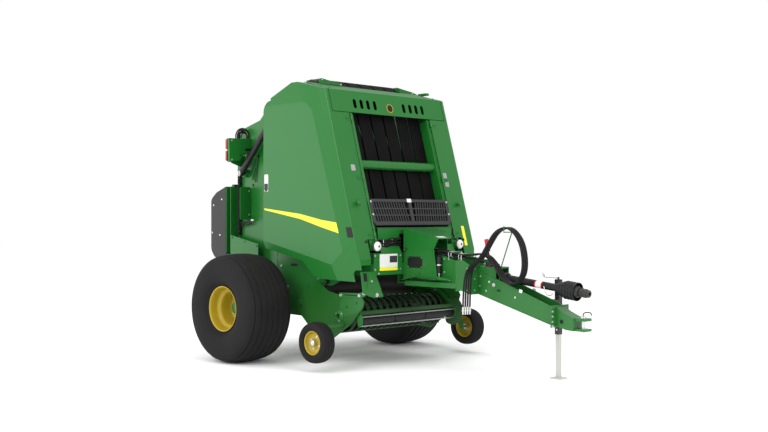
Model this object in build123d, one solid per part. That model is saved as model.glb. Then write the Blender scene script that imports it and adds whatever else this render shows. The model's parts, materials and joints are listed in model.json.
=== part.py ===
"""A large variable-chamber round baler: belts in a welded frame, a lifting rear gate with a
net box, a pickup on gauge wheels, a drawbar tongue with a parking jack, and a driveline.

Millimetres. The design frame has X across the machine, -Y towards the tractor, Z up, the
axle at Y = 0 and the ground at Z = 0. The finished pieces are moved so that the origin is
under the middle of the machine.
"""
from build123d import *
import math
import os

# ---------------------------------------------------------------- driving dimensions
AXLE_HEIGHT = 515.0          # main wheel centre above the ground
TYRE_WIDTH = 510.0
TYRE_BEAD_R = 205.0
RIM_FLANGE_R = 216.0
SPINDLE_R = 32.0
SHAFT_GAP = 0.05             # radial running clearance of a pin or shaft in its bore

GAUGE_R = 184.0
GAUGE_WIDTH = 150.0
GAUGE_X = 1020.0
GAUGE_Y = -1048.0
GAUGE_Z = 264.0
GAUGE_BEAD_R = 102.0
GAUGE_SPINDLE_R = 12.0

FRAME_HALF = 612.0           # outer face of the side sheets
SHEET = 6.0                  # side sheet thickness
POST_WIDTH = 106.0           # window side to the inner face of a side sheet
BELT_COUNT = 6
BELT_WIDTH = 150.0
BELT_PITCH = 170.0
BELT_T = 8.0
BELT_GAP = 0.3               # belt to roller

FACE_Y = -975.0              # front face at FACE_Z
FACE_Z = 2320.0
FACE_SLOPE = 0.284           # forward travel of the face for each unit down
HOOD_TOP_Z = 2555.0
HOOD_SEAM_Z = 2350.0
WINDOW_HALF = FRAME_HALF - SHEET - POST_WIDTH

SHIELD_STAND = 218.0         # flat side of a shield out from the side sheet
SHIELD_FOLD_IN = 68.0        # width of the bevel between front strip and side
SHIELD_X = FRAME_HALF + SHIELD_STAND
SHIELD_FOLD_X = SHIELD_X - SHIELD_FOLD_IN
SHIELD_T = 4.0
SHIELD_HINGE_IN = 72.0       # hinge line in from the side sheet
SHIELD_HINGE_X = FRAME_HALF - SHIELD_HINGE_IN
SHIELD_EDGE_X = SHIELD_HINGE_X + 12    # inner edge of the front strip
SHIELD_TOP_X = FRAME_HALF + 28         # inner edge of the top flange
SHIELD_BEVEL = 125.0         # bevel's reach behind the face
ROUND = 110.0                # rounding of a shield's top rear corner
HOOD_CLEAR = 7.0             # hood edge short of the shield's fold
HOOD_HALF = SHIELD_FOLD_X - HOOD_CLEAR

GATE_HINGE_Y = 20.0
GATE_HINGE_Z = 2500.0
GATE_PIN_R = 20.0
SEAM_GAP = 8.0               # between frame sheet and gate sheet

PICKUP_PIVOT_Y = -400.0
PICKUP_PIVOT_Z = 570.0
PICKUP_PIN_R = 30.0
PICKUP_STAND = 38.0          # pickup end panels out from the side sheets
PICKUP_X = FRAME_HALF + PICKUP_STAND
PICKUP_SHEET = 5.0
REEL_Y = -950.0
REEL_Z = 470.0
REEL_TIP_R = 190.0
REEL_SHAFT_R = 20.0
BAND_R = 150.0
BAND_T = 4.0
BAND_COUNT = 15

TONGUE_REAR_Y = -2130.0
TONGUE_FRONT_Y = -2930.0
TONGUE_ROOT_HALF = 200.0
ROOT_WALL_HALF = 130.0       # outer face of the walls beside the gearbox
HITCH_PIN_Y = -3170.0
HITCH_PIN_R = 15.0
JACK_X = 200.0
JACK_Y = -2780.0
JACK_LEG_HALF = 18.0
JACK_WALL = 5.0
JACK_FOOT_HALF = 54.0
JACK_TRAVEL = 250.0
NET_HINGE = (728.0, 1702.0)  # y, z of the net cover's hinge rod
SHIELD_ROD_OUT = 6.0         # shield hinge rod in front of the face
SHIELD_ROD_R = 6.0
# heights of the shield's knuckles
KNUCKLES = (1200.0, 1720.0, 2270.0)

PTO_REAR = (0.0, -1700.0, 926.7)
PTO_FRONT = (0.0, -3236.0, 754.0)
PTO_SHAFT_R = 22.0
PTO_GUARD = 11.0             # guard tube outside the shaft

BEAM_Y = -1340.0             # front face of the lower front beam
GATE_REAR_Y = 650.0
SKIN_STAND = 88.0            # gate's lower cover plates out from its side sheets
OUTER_X = FRAME_HALF + SKIN_STAND
TYRE_STAND = 115.0           # tyre wall out from those plates
TRACK_HALF = OUTER_X + TYRE_STAND + TYRE_WIDTH / 2    # main wheel centre from the middle plane

HOOD_SIDE = 215.0            # half width of the gearbox cover

HOSE_R = 8.0
HOSE_COUNT = 4
HOSE_STEP = 22.0             # side-by-side spacing of the hoses
BULKHEAD_Y = -1610.0

NET_HALF = OUTER_X           # half width of the net box
LAMP_REACH = 284.0           # lamp carriers out from the gate sheets
LAMP_Y = 412.0               # front of the lamp carriers
CYLINDER_STAND = 78.0        # gate cylinder centre out from the side sheets
CYLINDER_X = FRAME_HALF + CYLINDER_STAND
LIFT_STAND = 20.0            # pickup lift strut centre out from the side sheets
LIFT_X = FRAME_HALF + LIFT_STAND
MARKER_X = WINDOW_HALF + 60  # front lamp centre
MARKER_R = 50.0


# ---------------------------------------------------------------- helpers
def face_y(z):
    """Y of the front face at height z."""
    return FACE_Y + FACE_SLOPE * (z - FACE_Z)


def yz_prism(points, x0, x1):
    """Outline of (y, z) points carried from x0 to x1."""
    outline = make_face(Polyline(*points, close=True))
    return extrude(Plane(origin=(x0, 0, 0), x_dir=(0, 1, 0), z_dir=(1, 0, 0)) * outline, x1 - x0)


def xz_prism(points, y0, y1):
    """Outline of (x, z) points carried from y0 to y1."""
    outline = make_face(Polyline(*points, close=True))
    return extrude(Plane(origin=(0, y1, 0), x_dir=(1, 0, 0), z_dir=(0, -1, 0)) * outline, y1 - y0)


def xy_prism(points, z0, z1):
    """Outline of (x, y) points carried from z0 to z1."""
    return extrude(Pos(0, 0, z0) * make_face(Polyline(*points, close=True)), z1 - z0)


def block(x0, x1, y0, y1, z0, z1):
    """Box between two corners."""
    centre = Pos((x0 + x1) / 2, (y0 + y1) / 2, (z0 + z1) / 2)
    return centre * Box(abs(x1 - x0), abs(y1 - y0), abs(z1 - z0))


def bar(start, end, radius):
    """Round bar between two points."""
    a = Vector(*start)
    run = Vector(*end) - a
    return extrude(Plane(origin=a, z_dir=run) * Circle(radius), run.length)


def cross_bar(y, z, radius, x0, x1):
    """Round bar across the machine."""
    return bar((x0, y, z), (x1, y, z), radius)


def face_plane(x=0.0, z=0.0, out=0.0):
    """Plane lying on the front face: local x across, local y up the slope, local z outward."""
    lean = math.atan(FACE_SLOPE)
    normal = (0.0, -math.cos(lean), math.sin(lean))
    origin = (x, face_y(z) + out * normal[1], z + out * normal[2])
    return Plane(origin=origin, x_dir=(1, 0, 0), z_dir=normal)


def slope_length(z0, z1):
    """Distance along the sloping face between two heights."""
    return (z1 - z0) * math.hypot(1.0, FACE_SLOPE)


def mirrored(shape):
    """The same piece on the other side of the middle plane."""
    return mirror(shape, about=Plane.YZ)


def both(shape):
    """A piece and its mirror image, as one."""
    return shape + mirrored(shape)


def pto_point(share):
    """Point on the driveline axis, from 0 at the gearbox to 1 at the front yoke."""
    return tuple(a + share * (b - a) for a, b in zip(PTO_REAR, PTO_FRONT))


def belt_loop(circles, gap, thickness):
    """Section of a belt pulled round circles given as (y, z, radius)."""
    def hull(extra):
        rims = Sketch() + [Pos(y, z) * Circle(r + extra) for y, z, r in circles]
        return make_hull(rims.edges())
    return hull(gap + thickness) - hull(gap)


def belts(circles):
    """All the belts of one loop, side by side."""
    section = belt_loop(circles, BELT_GAP, BELT_T)
    strips = []
    for n in range(BELT_COUNT):
        left = (n - (BELT_COUNT - 1) / 2) * BELT_PITCH - BELT_WIDTH / 2
        plane = Plane(origin=(left, 0, 0), x_dir=(0, 1, 0), z_dir=(1, 0, 0))
        strips.append(extrude(plane * section, BELT_WIDTH))
    return Compound(children=strips)


def rollers(circles, half):
    """Rollers with journals that end against the side sheets."""
    pieces = []
    for y, z, r in circles:
        body = cross_bar(y, z, r, 40 - half, half - 40)
        pieces.append(body + cross_bar(y, z, min(24.0, r * 0.5), -half, half))
    return Compound(children=pieces)


# ---------------------------------------------------------------- rollers of both loops
# each roller: y, z, radius
FRONT_ROLLERS = (
    (-450.0, 2612.0, 84.0),
    (-745.0, 2440.0, 66.0),
    (-1120.0, 1120.0, 66.0),
)
DRUMS = (
    (-560.0, 700.0, 105.0),
    (-270.0, 655.0, 75.0),
)
GATE_BELT_ROLLERS = (
    (500.0, 2130.0, 60.0),
    (560.0, 1130.0, 60.0),
)
GATE_ROLLERS = (
    (200.0, 2280.0, 60.0),
    (360.0, 880.0, 60.0),
    (170.0, 720.0, 60.0),
)
SHEET_IN = FRAME_HALF - SHEET
WALL_DEPTH = 96.0            # depth of the walls beside the window
GRILLE_ROWS = 3
GRILLE_COLUMNS = 11          # each side of the mullion
GRILLE_RIM = 30.0            # half width of the mullion and of the end rims
GRILLE_RAKE = 12.0           # lean of the slots, degrees

# ---------------------------------------------------------------- main wheels


def wheel_profile(rows, half_width):
    """Closed outline from (share of half width, radius) rows."""
    return [(share * half_width, radius) for share, radius in rows]


def spin_x(points, x, y, z):
    """Turn an outline of (offset along x, radius) about the axle through (x, y, z)."""
    outline = make_face(Polyline(*points, close=True))
    turned = revolve(outline, axis=Axis((0, 0, 0), (1, 0, 0)))
    return Pos(x, y, z) * turned


# tyre section: share of half width, radius; outside, then the hollow
TYRE_OUTER = (
    (-0.74, 205.0), (-0.76, 217.0), (-0.93, 262.0), (-1.0, 350.0), (-0.98, 430.0), (-0.90, 478.0),
    (-0.74, 500.0), (-0.38, 512.0), (0.0, 515.0), (0.38, 512.0), (0.74, 500.0), (0.90, 478.0),
    (0.98, 430.0), (1.0, 350.0), (0.93, 262.0), (0.76, 217.0), (0.74, 205.0),
)
TYRE_INNER = (
    (0.64, 205.0), (0.70, 235.0), (0.86, 280.0), (0.93, 350.0), (0.91, 424.0), (0.84, 462.0),
    (0.68, 478.0), (0.35, 488.0), (0.0, 490.0),
)
RIM_BARREL_HALF = 0.76 * TYRE_WIDTH / 2
HUB_HALF = 62.0
SPINDLE_TIP = TRACK_HALF + 20.0


def main_tyre(side):
    hollow = list(TYRE_INNER) + [(-share, radius) for share, radius in reversed(TYRE_INNER[:-1])]
    rows = list(TYRE_OUTER) + hollow
    return spin_x(wheel_profile(rows, TYRE_WIDTH / 2), side * TRACK_HALF, 0, AXLE_HEIGHT)


def main_rim(side):
    """Well, flanges, dished disc and hub; the dish opens outward."""
    b = RIM_BARREL_HALF
    well = [(-b, 196), (-b - 10, RIM_FLANGE_R), (-b - 4, RIM_FLANGE_R), (-b + 3, TYRE_BEAD_R - 0.3),
            (b - 3, TYRE_BEAD_R - 0.3), (b + 4, RIM_FLANGE_R), (b + 10, RIM_FLANGE_R), (b, 196)]
    disc = [(-38, 60), (-22, 60), (-22, 120), (42, 197), (26, 197), (-38, 128)]
    hub = [(-HUB_HALF, SPINDLE_R + SHAFT_GAP), (-HUB_HALF, 62), (-30, 70), (10, 70), (HUB_HALF, 50),
           (HUB_HALF, 0), (HUB_HALF - 12, 0), (HUB_HALF - 12, SPINDLE_R + SHAFT_GAP)]
    outline = make_face(Polyline(*well, close=True)) + make_face(Polyline(*disc, close=True))
    outline += make_face(Polyline(*hub, close=True))
    turned = revolve(outline, axis=Axis((0, 0, 0), (1, 0, 0)))
    placed = Pos(TRACK_HALF, 0, AXLE_HEIGHT) * turned
    return placed if side > 0 else mirrored(placed)


def axle_beam():
    """Square axle tube with stub spindles and stop collars."""
    half = 60.0
    end = SHIELD_X - 30
    tube = block(-end, end, -half, half, AXLE_HEIGHT - half, AXLE_HEIGHT + half)
    stub = cross_bar(0, AXLE_HEIGHT, SPINDLE_R + 12, end, TRACK_HALF - HUB_HALF - 6)
    spindle = cross_bar(0, AXLE_HEIGHT, SPINDLE_R, end, TRACK_HALF + HUB_HALF - 16)
    return tube + both(stub + spindle)


# ---------------------------------------------------------------- gauge wheels
def gauge_tyre(side):
    w = GAUGE_WIDTH / 2
    rows = [(-0.57, GAUGE_BEAD_R), (-0.61, 110), (-0.95, 125), (-1.0, 145), (-0.9, 168), (-0.55, 181), (0, GAUGE_R),
            (0.55, 181), (0.9, 168), (1.0, 145), (0.95, 125), (0.61, 110), (0.57, GAUGE_BEAD_R)]
    return spin_x(wheel_profile(rows, w), side * GAUGE_X, GAUGE_Y, GAUGE_Z)


def gauge_rim(side):
    b = 0.62 * GAUGE_WIDTH / 2
    well = [(-b, 92), (-b - 6, 108), (-b - 2, 108), (-b + 2, GAUGE_BEAD_R - 0.3),
            (b - 2, GAUGE_BEAD_R - 0.3), (b + 2, 108), (b + 6, 108), (b, 92)]
    disc = [(4, 20), (10, 20), (10, 60), (24, 94), (16, 94), (4, 64)]
    bore = GAUGE_SPINDLE_R + SHAFT_GAP
    hub = [(-38, bore), (-38, 24), (32, 24), (40, 16), (40, 0), (34, 0), (34, bore)]
    outline = make_face(Polyline(*well, close=True)) + make_face(Polyline(*disc, close=True))
    outline += make_face(Polyline(*hub, close=True))
    turned = revolve(outline, axis=Axis((0, 0, 0), (1, 0, 0)))
    placed = Pos(GAUGE_X, GAUGE_Y, GAUGE_Z) * turned
    return placed if side > 0 else mirrored(placed)


# ---------------------------------------------------------------- frame
# side sheet outline: y, z
SIDE_SHEET = (
    (face_y(1085) + 40, 1085), (face_y(2400) + 40, 2400), (-760, 2545), (-570, 2640), (-340, 2640),
    (-200, 2530), (-SEAM_GAP / 2, 2530), (-SEAM_GAP / 2, 610), (110, 610), (110, 440),
    (-450, 430), (-560, 500), (-690, 735), (-800, 740), (-1050, 850), (BEAM_Y, 850),
)


def side_frame(side):
    """Side sheet with hinge eye, axle seat, window post and hanging lift bracket."""
    sheet = yz_prism(SIDE_SHEET, SHEET_IN, FRAME_HALF)
    sheet += cross_bar(GATE_HINGE_Y, GATE_HINGE_Z, 40, SHEET_IN, FRAME_HALF)
    sheet -= block(0, 900, -60, 60, AXLE_HEIGHT - 60, AXLE_HEIGHT + 60)
    pin = cross_bar(GATE_HINGE_Y, GATE_HINGE_Z, GATE_PIN_R, FRAME_HALF, FRAME_HALF + 26)
    pivot = cross_bar(PICKUP_PIVOT_Y, PICKUP_PIVOT_Z, PICKUP_PIN_R, FRAME_HALF, PICKUP_X + 20)
    cover = cross_bar(PICKUP_PIVOT_Y, PICKUP_PIVOT_Z, 70, FRAME_HALF, FRAME_HALF + 12)
    lift_pin = cross_bar(LIFT_TOP[0], LIFT_TOP[1], 10, FRAME_HALF, LIFT_X + 14)
    ram_pin = cross_bar(RAM_TOP[0], RAM_TOP[1], 40, FRAME_HALF, CYLINDER_X - 24)
    solid = sheet + pin + pivot + cover + lift_pin + ram_pin
    return solid if side > 0 else mirrored(solid)


# pickup lift strut ends: y, z
LIFT_TOP = (-744.0, 777.0)
LIFT_LOW = (-544.0, 477.0)
# gate cylinder ends: y, z
RAM_TOP = (-80.0, 2415.0)
RAM_LOW = (490.0, 1820.0)


def window_posts():
    """Posts and walls beside the window, each with the hinge rod of its shield."""
    front = face_plane(0, 1085, -12)
    rise = slope_length(1085, 2340)
    post = extrude(front * Pos((WINDOW_HALF + SHEET_IN) / 2, rise / 2) *
                   Rectangle(SHEET_IN - WINDOW_HALF, rise), -28)
    wall = extrude(front * Pos(WINDOW_HALF + 3, rise / 2) * Rectangle(6, rise), -WALL_DEPTH)
    rod = hinge_rod(KNUCKLES[0] - 50, KNUCKLES[-1] + 70, SHIELD_ROD_R)
    for z in (KNUCKLES[0] - 40, KNUCKLES[0] + 50, KNUCKLES[1] + 50, KNUCKLES[2] - 30, KNUCKLES[2] + 46):
        foot = face_plane(0, z, -12) * Pos(SHIELD_HINGE_X, 10) * Rectangle(12, 20)
        rod += extrude(foot, 12 + SHIELD_ROD_OUT)
    lamp_stub = bar((MARKER_X, -1322, 1115), (MARKER_X, -1290, 1115), 12)
    left = post + wall + rod + lamp_stub
    return Compound(children=[left, mirrored(left)])


def cross_tubes():
    """Window tube and sill between the walls; beam and top and low tubes between the sheets."""
    tube = cross_bar(face_y(1865) + 72, 1865, 42, -WINDOW_HALF, WINDOW_HALF)
    sill = block(-WINDOW_HALF, WINDOW_HALF, -1290, -1284, 1225, 1281)
    sill += block(-WINDOW_HALF, WINDOW_HALF, -1284, -1215, 1275, 1281)
    beam = block(-SHEET_IN, SHEET_IN, BEAM_Y, BEAM_Y + 100, 855, 955)
    top = block(-SHEET_IN, SHEET_IN, -600, -560, 2500, 2560)
    low = cross_bar(-360, 500, 45, -SHEET_IN, SHEET_IN)
    return Compound(children=[tube, sill, beam, top, low])


def front_hood():
    """Top band of the front face with its slots, the roof behind it and the lower lip."""
    t = 5.0
    rise = slope_length(HOOD_SEAM_Z, HOOD_TOP_Z)
    band_plane = face_plane(0, HOOD_SEAM_Z, 0)
    band = extrude(band_plane * Pos(0, rise / 2) * Rectangle(2 * HOOD_HALF, rise), -t)
    for centre in (196, 286, 371, 457):
        hole = band_plane * Pos(centre, slope_length(HOOD_SEAM_Z, 2435)) * SlotOverall(94, 42, rotation=90)
        band -= both(extrude(hole, 20, both=True))
    edge_y = face_y(HOOD_TOP_Z)
    roof = yz_prism(((edge_y, HOOD_TOP_Z), (edge_y, HOOD_TOP_Z - t), (-560, 2643), (-560, 2648)),
                    -HOOD_HALF, HOOD_HALF)
    belts_half = ((BELT_COUNT - 1) * BELT_PITCH + BELT_WIDTH) / 2 + 12
    roof -= block(-belts_half, belts_half, -598, -500, 2600, 2700)
    return band + roof


def front_panels():
    """Panels and brackets on the front beam, at both corners."""
    out = FRAME_HALF
    panel = block(12 - out, -240, BEAM_Y - 6, BEAM_Y, 890, 1050)
    shelf = yz_prism(((BEAM_Y - 6, 1044), (BEAM_Y, 1044), (BEAM_Y + 42, 1118), (BEAM_Y + 36, 1118)),
                     -WINDOW_HALF, -240)
    foot = xz_prism(((-SHEET_IN, 890), (22 - out, 890), (107 - out, 720), (-SHEET_IN, 720)),
                    BEAM_Y - 6, BEAM_Y)
    plate = xz_prism(((-out - 156, 892), (12 - out, 892), (125 - out, 660), (2 - out, 655), (-out - 128, 700)),
                     BEAM_Y - 14, BEAM_Y - 6)
    slot = xz_prism(((-out - 130, 876), (-out - 88, 876), (-out - 78, 812), (-out - 120, 812)),
                    BEAM_Y - 20, BEAM_Y)
    return both(panel + shelf + foot + plate - slot)


def marker_lamps():
    """Round front lamps on their stubs."""
    lamp = bar((-MARKER_X, -1322, 1115), (-MARKER_X, -1348, 1115), MARKER_R)
    return Compound(children=[lamp, mirrored(lamp)])


def grille():
    """Plastic grille over the foot of the window, with raked slots either side of a mullion."""
    half = WINDOW_HALF + 30
    z0, z1 = 1302.0, 1542.0
    rise = slope_length(z0, z1)
    plane = face_plane(0, z0, -11.7)
    outline = Polyline((-half + 48, 0), (half - 48, 0), (half, 84), (half, rise - 54), (half - 58, rise),
                       (58 - half, rise), (-half, rise - 54), (-half, 84), close=True)
    plate = extrude(plane * make_face(outline), 22)
    pitch = (half - 2 * GRILLE_RIM) / GRILLE_COLUMNS
    slots = Sketch()
    for row in range(GRILLE_ROWS):
        for n in range(GRILLE_COLUMNS):
            if n == GRILLE_COLUMNS - 1 and row != 1:
                continue
            spot = GRILLE_RIM + (n + 0.5) * pitch
            height = 68 + row * 60
            for side in (-1, 1):
                turn = -side * GRILLE_RAKE
                slots += Pos(side * spot, height) * Rot(0, 0, turn) * Rectangle(pitch * 0.6, 45)
    return plate - extrude(plane * slots, 60, both=True)


def gearbox_hood():
    """Bent cover over the gearbox: a full near side with a toe, a short far side and a pointed roof."""
    near = yz_prism(((BEAM_Y, 1267), (-1772, 1182), (-1717, 1091), (-1744, 930), (-1752, 850), (-1913, 826),
                     (-1905, 818), (-1764, 816), (-1549, 830), (-1520, 838),
                     (BEAM_Y, 800), (BEAM_Y, 1040), (-1394, 1084), (BEAM_Y, 1125)), -HOOD_SIDE, 5 - HOOD_SIDE)
    lip = yz_prism(((-1764, 816), (-1549, 830), (-1520, 838), (BEAM_Y, 800), (BEAM_Y, 805), (-1520, 843),
                    (-1549, 835), (-1764, 821)),
                   -HOOD_SIDE - 34, 5 - HOOD_SIDE)
    far = yz_prism(((BEAM_Y, 1267), (-1500, 1237), (-1500, 900), (BEAM_Y, 900)), HOOD_SIDE - 5, HOOD_SIDE)
    roof = yz_prism(((BEAM_Y, 1267), (-1772, 1182), (-1772, 1187), (BEAM_Y, 1272)), -HOOD_SIDE, HOOD_SIDE)
    roof -= xy_prism(((-70, -1800), (HOOD_SIDE + 5, -1500), (HOOD_SIDE + 5, -1800)), 1100, 1300)
    web = block(-HOOD_SIDE, HOOD_SIDE, BEAM_Y - 6, BEAM_Y, 1062, 1268)
    return near + lip + far + roof + web + hose_bulkhead()


def gearbox():
    """Gearbox case with the bearing of its input shaft."""
    half = ROOT_WALL_HALF - 20
    case = block(-half, half, -1560, BEAM_Y, 800, 1060)
    boss = bar(pto_point(-0.16), pto_point(0.0), 48)
    return case + boss - bar(pto_point(-0.14), pto_point(0.02), PTO_SHAFT_R + SHAFT_GAP)


def tongue():
    """Root that narrows to walls beside the gearbox, and a tapering channel, in one drawbar."""
    h = TONGUE_ROOT_HALF
    w = ROOT_WALL_HALF
    rear = TONGUE_REAR_Y
    root_side = yz_prism(((-1965, 760), (rear, 704), (rear, 960), (-2050, 1000), (-1965, 996)), h - 10, h)
    wall = xy_prism(((h - 10, -1965), (h, -1965), (w, -1646), (w, BEAM_Y - 2), (w - 10, BEAM_Y - 2),
                     (w - 10, -1646)), 772, 1060)
    wall -= yz_prism(((-1970, 995), (-1646, 1060), (-1646, 1100), (-1970, 1100)), 0, 500)
    root_front = block(92, h, rear - 10, rear, 704, 960)
    root_floor = yz_prism(((rear, 704), (rear, 714), (-1965, 780), (BEAM_Y + 100, 780), (BEAM_Y + 100, 770),
                           (-1965, 770)), 10 - h, h - 10)
    cheek = yz_prism(((BEAM_Y - 2, 748), (-1965, 748), (-1965, 794), (BEAM_Y - 2, 794)), h - 10, h)
    riser = block(-h + 10, h - 10, BEAM_Y + 90, BEAM_Y + 100, 780, 855)
    plate = yz_prism(((rear - 10, 704), (rear - 10, 915), (TONGUE_FRONT_Y, 636),
                      (TONGUE_FRONT_Y, 484)), 82, 92) + block(82, 92, rear - 10, rear, 704, 915)
    bottom = yz_prism(((rear - 10, 704), (rear - 10, 714), (TONGUE_FRONT_Y, 494),
                       (TONGUE_FRONT_Y, 484)), -82, 82)
    bottom += block(-82, 82, rear - 10, rear, 704, 714)
    saddle = yz_prism(((-2147, 905), (-2147, 950), (-2330, 944), (-2330, 845)), 82, 92)
    bridge = yz_prism(((-2147, 938), (-2147, 950), (-2330, 944), (-2330, 932)), -82, 82)
    sides = both(root_side + wall + root_front + cheek + plate + saddle)
    return sides + root_floor + riser + bottom + bridge


def hitch_clevis():
    """Cast end with two ears for the drawbar pin."""
    flange = block(-120, 120, TONGUE_FRONT_Y - 12, TONGUE_FRONT_Y, 470, 650)
    body = yz_prism(((TONGUE_FRONT_Y - 12, 480), (TONGUE_FRONT_Y - 12, 640), (-3010, 600), (-3116, 556),
                     (-3116, 450), (-3040, 455)), -60, 60)
    ears = block(-45, 45, -3221, -3116, 534, 556) + block(-45, 45, -3221, -3116, 450, 470)
    solid = flange + body + ears
    hole = bar((0, HITCH_PIN_Y, 400), (0, HITCH_PIN_Y, 600), HITCH_PIN_R + 0.5)
    return solid - hole


def hitch_pin():
    """Drawbar pin with its head."""
    shank = bar((0, HITCH_PIN_Y, 440), (0, HITCH_PIN_Y, 556.3), HITCH_PIN_R)
    head = bar((0, HITCH_PIN_Y, 556.3), (0, HITCH_PIN_Y, 572), 26)
    return shank + head


def jack_tube():
    """Outer tube with its bracket, head and thin bent crank."""
    s = JACK_LEG_HALF + JACK_WALL
    tube = block(JACK_X - s, JACK_X + s, JACK_Y - s, JACK_Y + s, 380, 800)
    b = JACK_LEG_HALF + 0.3
    bore = block(JACK_X - b, JACK_X + b, JACK_Y - b, JACK_Y + b, 379, 780)
    head = bar((JACK_X, JACK_Y, 800), (JACK_X, JACK_Y, 842), s + 10)
    bracket = block(92, JACK_X - s, JACK_Y - 40, JACK_Y + 40, 560, 680)
    knee = (JACK_X - 46, JACK_Y + 110, 866)
    crank = bar((JACK_X, JACK_Y, 842), (JACK_X, JACK_Y, 868), 8) + bar((JACK_X, JACK_Y, 862), knee, 5)
    crank += Pos(*knee) * Sphere(5) + bar(knee, (JACK_X - 56, JACK_Y + 122, 906), 5)
    return tube - bore + head + bracket + crank


def jack_leg():
    """Inner leg with its foot plate."""
    s = JACK_LEG_HALF
    f = JACK_FOOT_HALF
    leg = block(JACK_X - s, JACK_X + s, JACK_Y - s, JACK_Y + s, 10, 380 + 110)
    foot = block(JACK_X - f, JACK_X + f, JACK_Y - f, JACK_Y + f, 0, 12)
    return leg + foot


# ---------------------------------------------------------------- driveline
def pto_guard():
    """Fixed plastic guard: a tube with a bell at the front."""
    tube = bar(pto_point(0.05), pto_point(0.82), PTO_SHAFT_R + PTO_GUARD)
    axis = Vector(*PTO_FRONT) - Vector(*PTO_REAR)
    bell = Plane(origin=Vector(*pto_point(0.795)), z_dir=axis) * Pos(0, 0, 100) * Cylinder(78, 200)
    hollow = bar(pto_point(0.08), pto_point(0.99), PTO_SHAFT_R + 4)
    hollow += bar(pto_point(0.04), pto_point(0.09), PTO_SHAFT_R + SHAFT_GAP)
    mouth = Plane(origin=Vector(*pto_point(0.81)), z_dir=axis) * Pos(0, 0, 160) * Cylinder(70, 320)
    return tube + bell - hollow - mouth


def pto_shaft():
    """Turning shaft with the front yoke."""
    shaft = bar(pto_point(-0.13), pto_point(0.9), PTO_SHAFT_R)
    joint = bar(pto_point(0.835), pto_point(0.93), 58)
    yoke = bar(pto_point(0.93), PTO_FRONT, 38) - bar(pto_point(0.96), pto_point(1.02), 17.5)
    return shaft + joint + yoke


# ---------------------------------------------------------------- gate
# gate outline: y, z
GATE_SHEET = (
    (SEAM_GAP / 2, 2420), (520, 2285), (620, 2200), (650, 2080), (650, 1180), (470, 820), (250, 640),
    (SEAM_GAP / 2, 640),
)


def gate_frame():
    """Gate side sheets with hinge ears, lower cover plates, cylinder pins and cross tubes."""
    sheet = yz_prism(GATE_SHEET, SHEET_IN, FRAME_HALF)
    sheet -= cross_bar(GATE_HINGE_Y, GATE_HINGE_Z, 53, SHEET_IN - 1, FRAME_HALF + 1)
    ear_in = FRAME_HALF + 8
    ear = yz_prism(((-18, 2480), (-12, 2532), (55, 2532), (250, 2350), (250, 2250), (90, 2250),
                    (10, 2440)), ear_in, ear_in + 12)
    ear -= cross_bar(GATE_HINGE_Y, GATE_HINGE_Z, GATE_PIN_R + SHAFT_GAP, ear_in - 1, ear_in + 13)
    spacer = block(FRAME_HALF, ear_in, 100, 240, 2260, 2330)
    skin = yz_prism(((200, 1110), (GATE_REAR_Y, 1195), (GATE_REAR_Y, 640), (300, 640), (200, 700)),
                    OUTER_X - 6, OUTER_X)
    skin += block(FRAME_HALF, OUTER_X - 6, GATE_REAR_Y - 6, GATE_REAR_Y, 1180, 1190)
    skin += block(FRAME_HALF, OUTER_X - 6, 600, 630, 1000, 1030)
    skin += block(FRAME_HALF, OUTER_X - 6, 260, 290, 1000, 1030)
    ram_boss = cross_bar(RAM_LOW[0], RAM_LOW[1], 40, FRAME_HALF, CYLINDER_X - 32)
    ram_pin = cross_bar(RAM_LOW[0], RAM_LOW[1], 16, CYLINDER_X - 32, CYLINDER_X + 30)
    solid = both(sheet + ear + spacer + skin + ram_boss + ram_pin)
    for y, z, s in GATE_TUBES:
        solid += block(-SHEET_IN, SHEET_IN, y - s / 2, y + s / 2, z - s / 2, z + s / 2)
    return solid


# gate cross tubes: y, z, side
GATE_TUBES = ((600, 2190, 40), (620, 1700, 40), (590, 1010, 40), (330, 690, 40))


def lamp_boxes():
    """Lamp carriers standing out from the gate: a shallow tray facing forward, with its gusset."""
    x0 = FRAME_HALF
    tray = xz_prism(((x0, 2168), (x0 + LAMP_REACH, 2162), (x0 + LAMP_REACH - 6, 1925), (x0 + 150, 1945),
                     (x0 + 110, 2000), (x0, 2000)), LAMP_Y, LAMP_Y + 36)
    gusset = yz_prism(((LAMP_Y + 36, 2160), (LAMP_Y + 150, 2140), (LAMP_Y + 150, 1862), (LAMP_Y + 120, 1862),
                       (LAMP_Y + 36, 1960)), x0, x0 + 8)
    brace = xz_prism(((x0 + 8, 1870), (x0 + 8, 2000), (x0 + 180, 2000), (x0 + 180, 1925)),
                     LAMP_Y + 110, LAMP_Y + 116)
    brace += block(x0 + 150, x0 + 180, LAMP_Y + 36, LAMP_Y + 116, 1950, 1996)
    return both(tray + gusset + brace)


def tail_lamps():
    """Red lenses, two on each carrier, wrapped over its outer edge."""
    pieces = []
    for side in (-1, 1):
        for z in (1988.0, 2104.0):
            x = side * (FRAME_HALF + LAMP_REACH)
            pieces.append(block(x - side * 80, x, LAMP_Y + 36, LAMP_Y + 62, z - 48, z + 48))
    return Compound(children=pieces)


# section of the net cover: y, z
NET_SECTION = ((736, 1690), (806, 1664), (900, 1632), (990, 1560), (990, 1040), (930, 960), (880, 950),
               (736, 1000))
NET_WALL = 6.0


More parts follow.
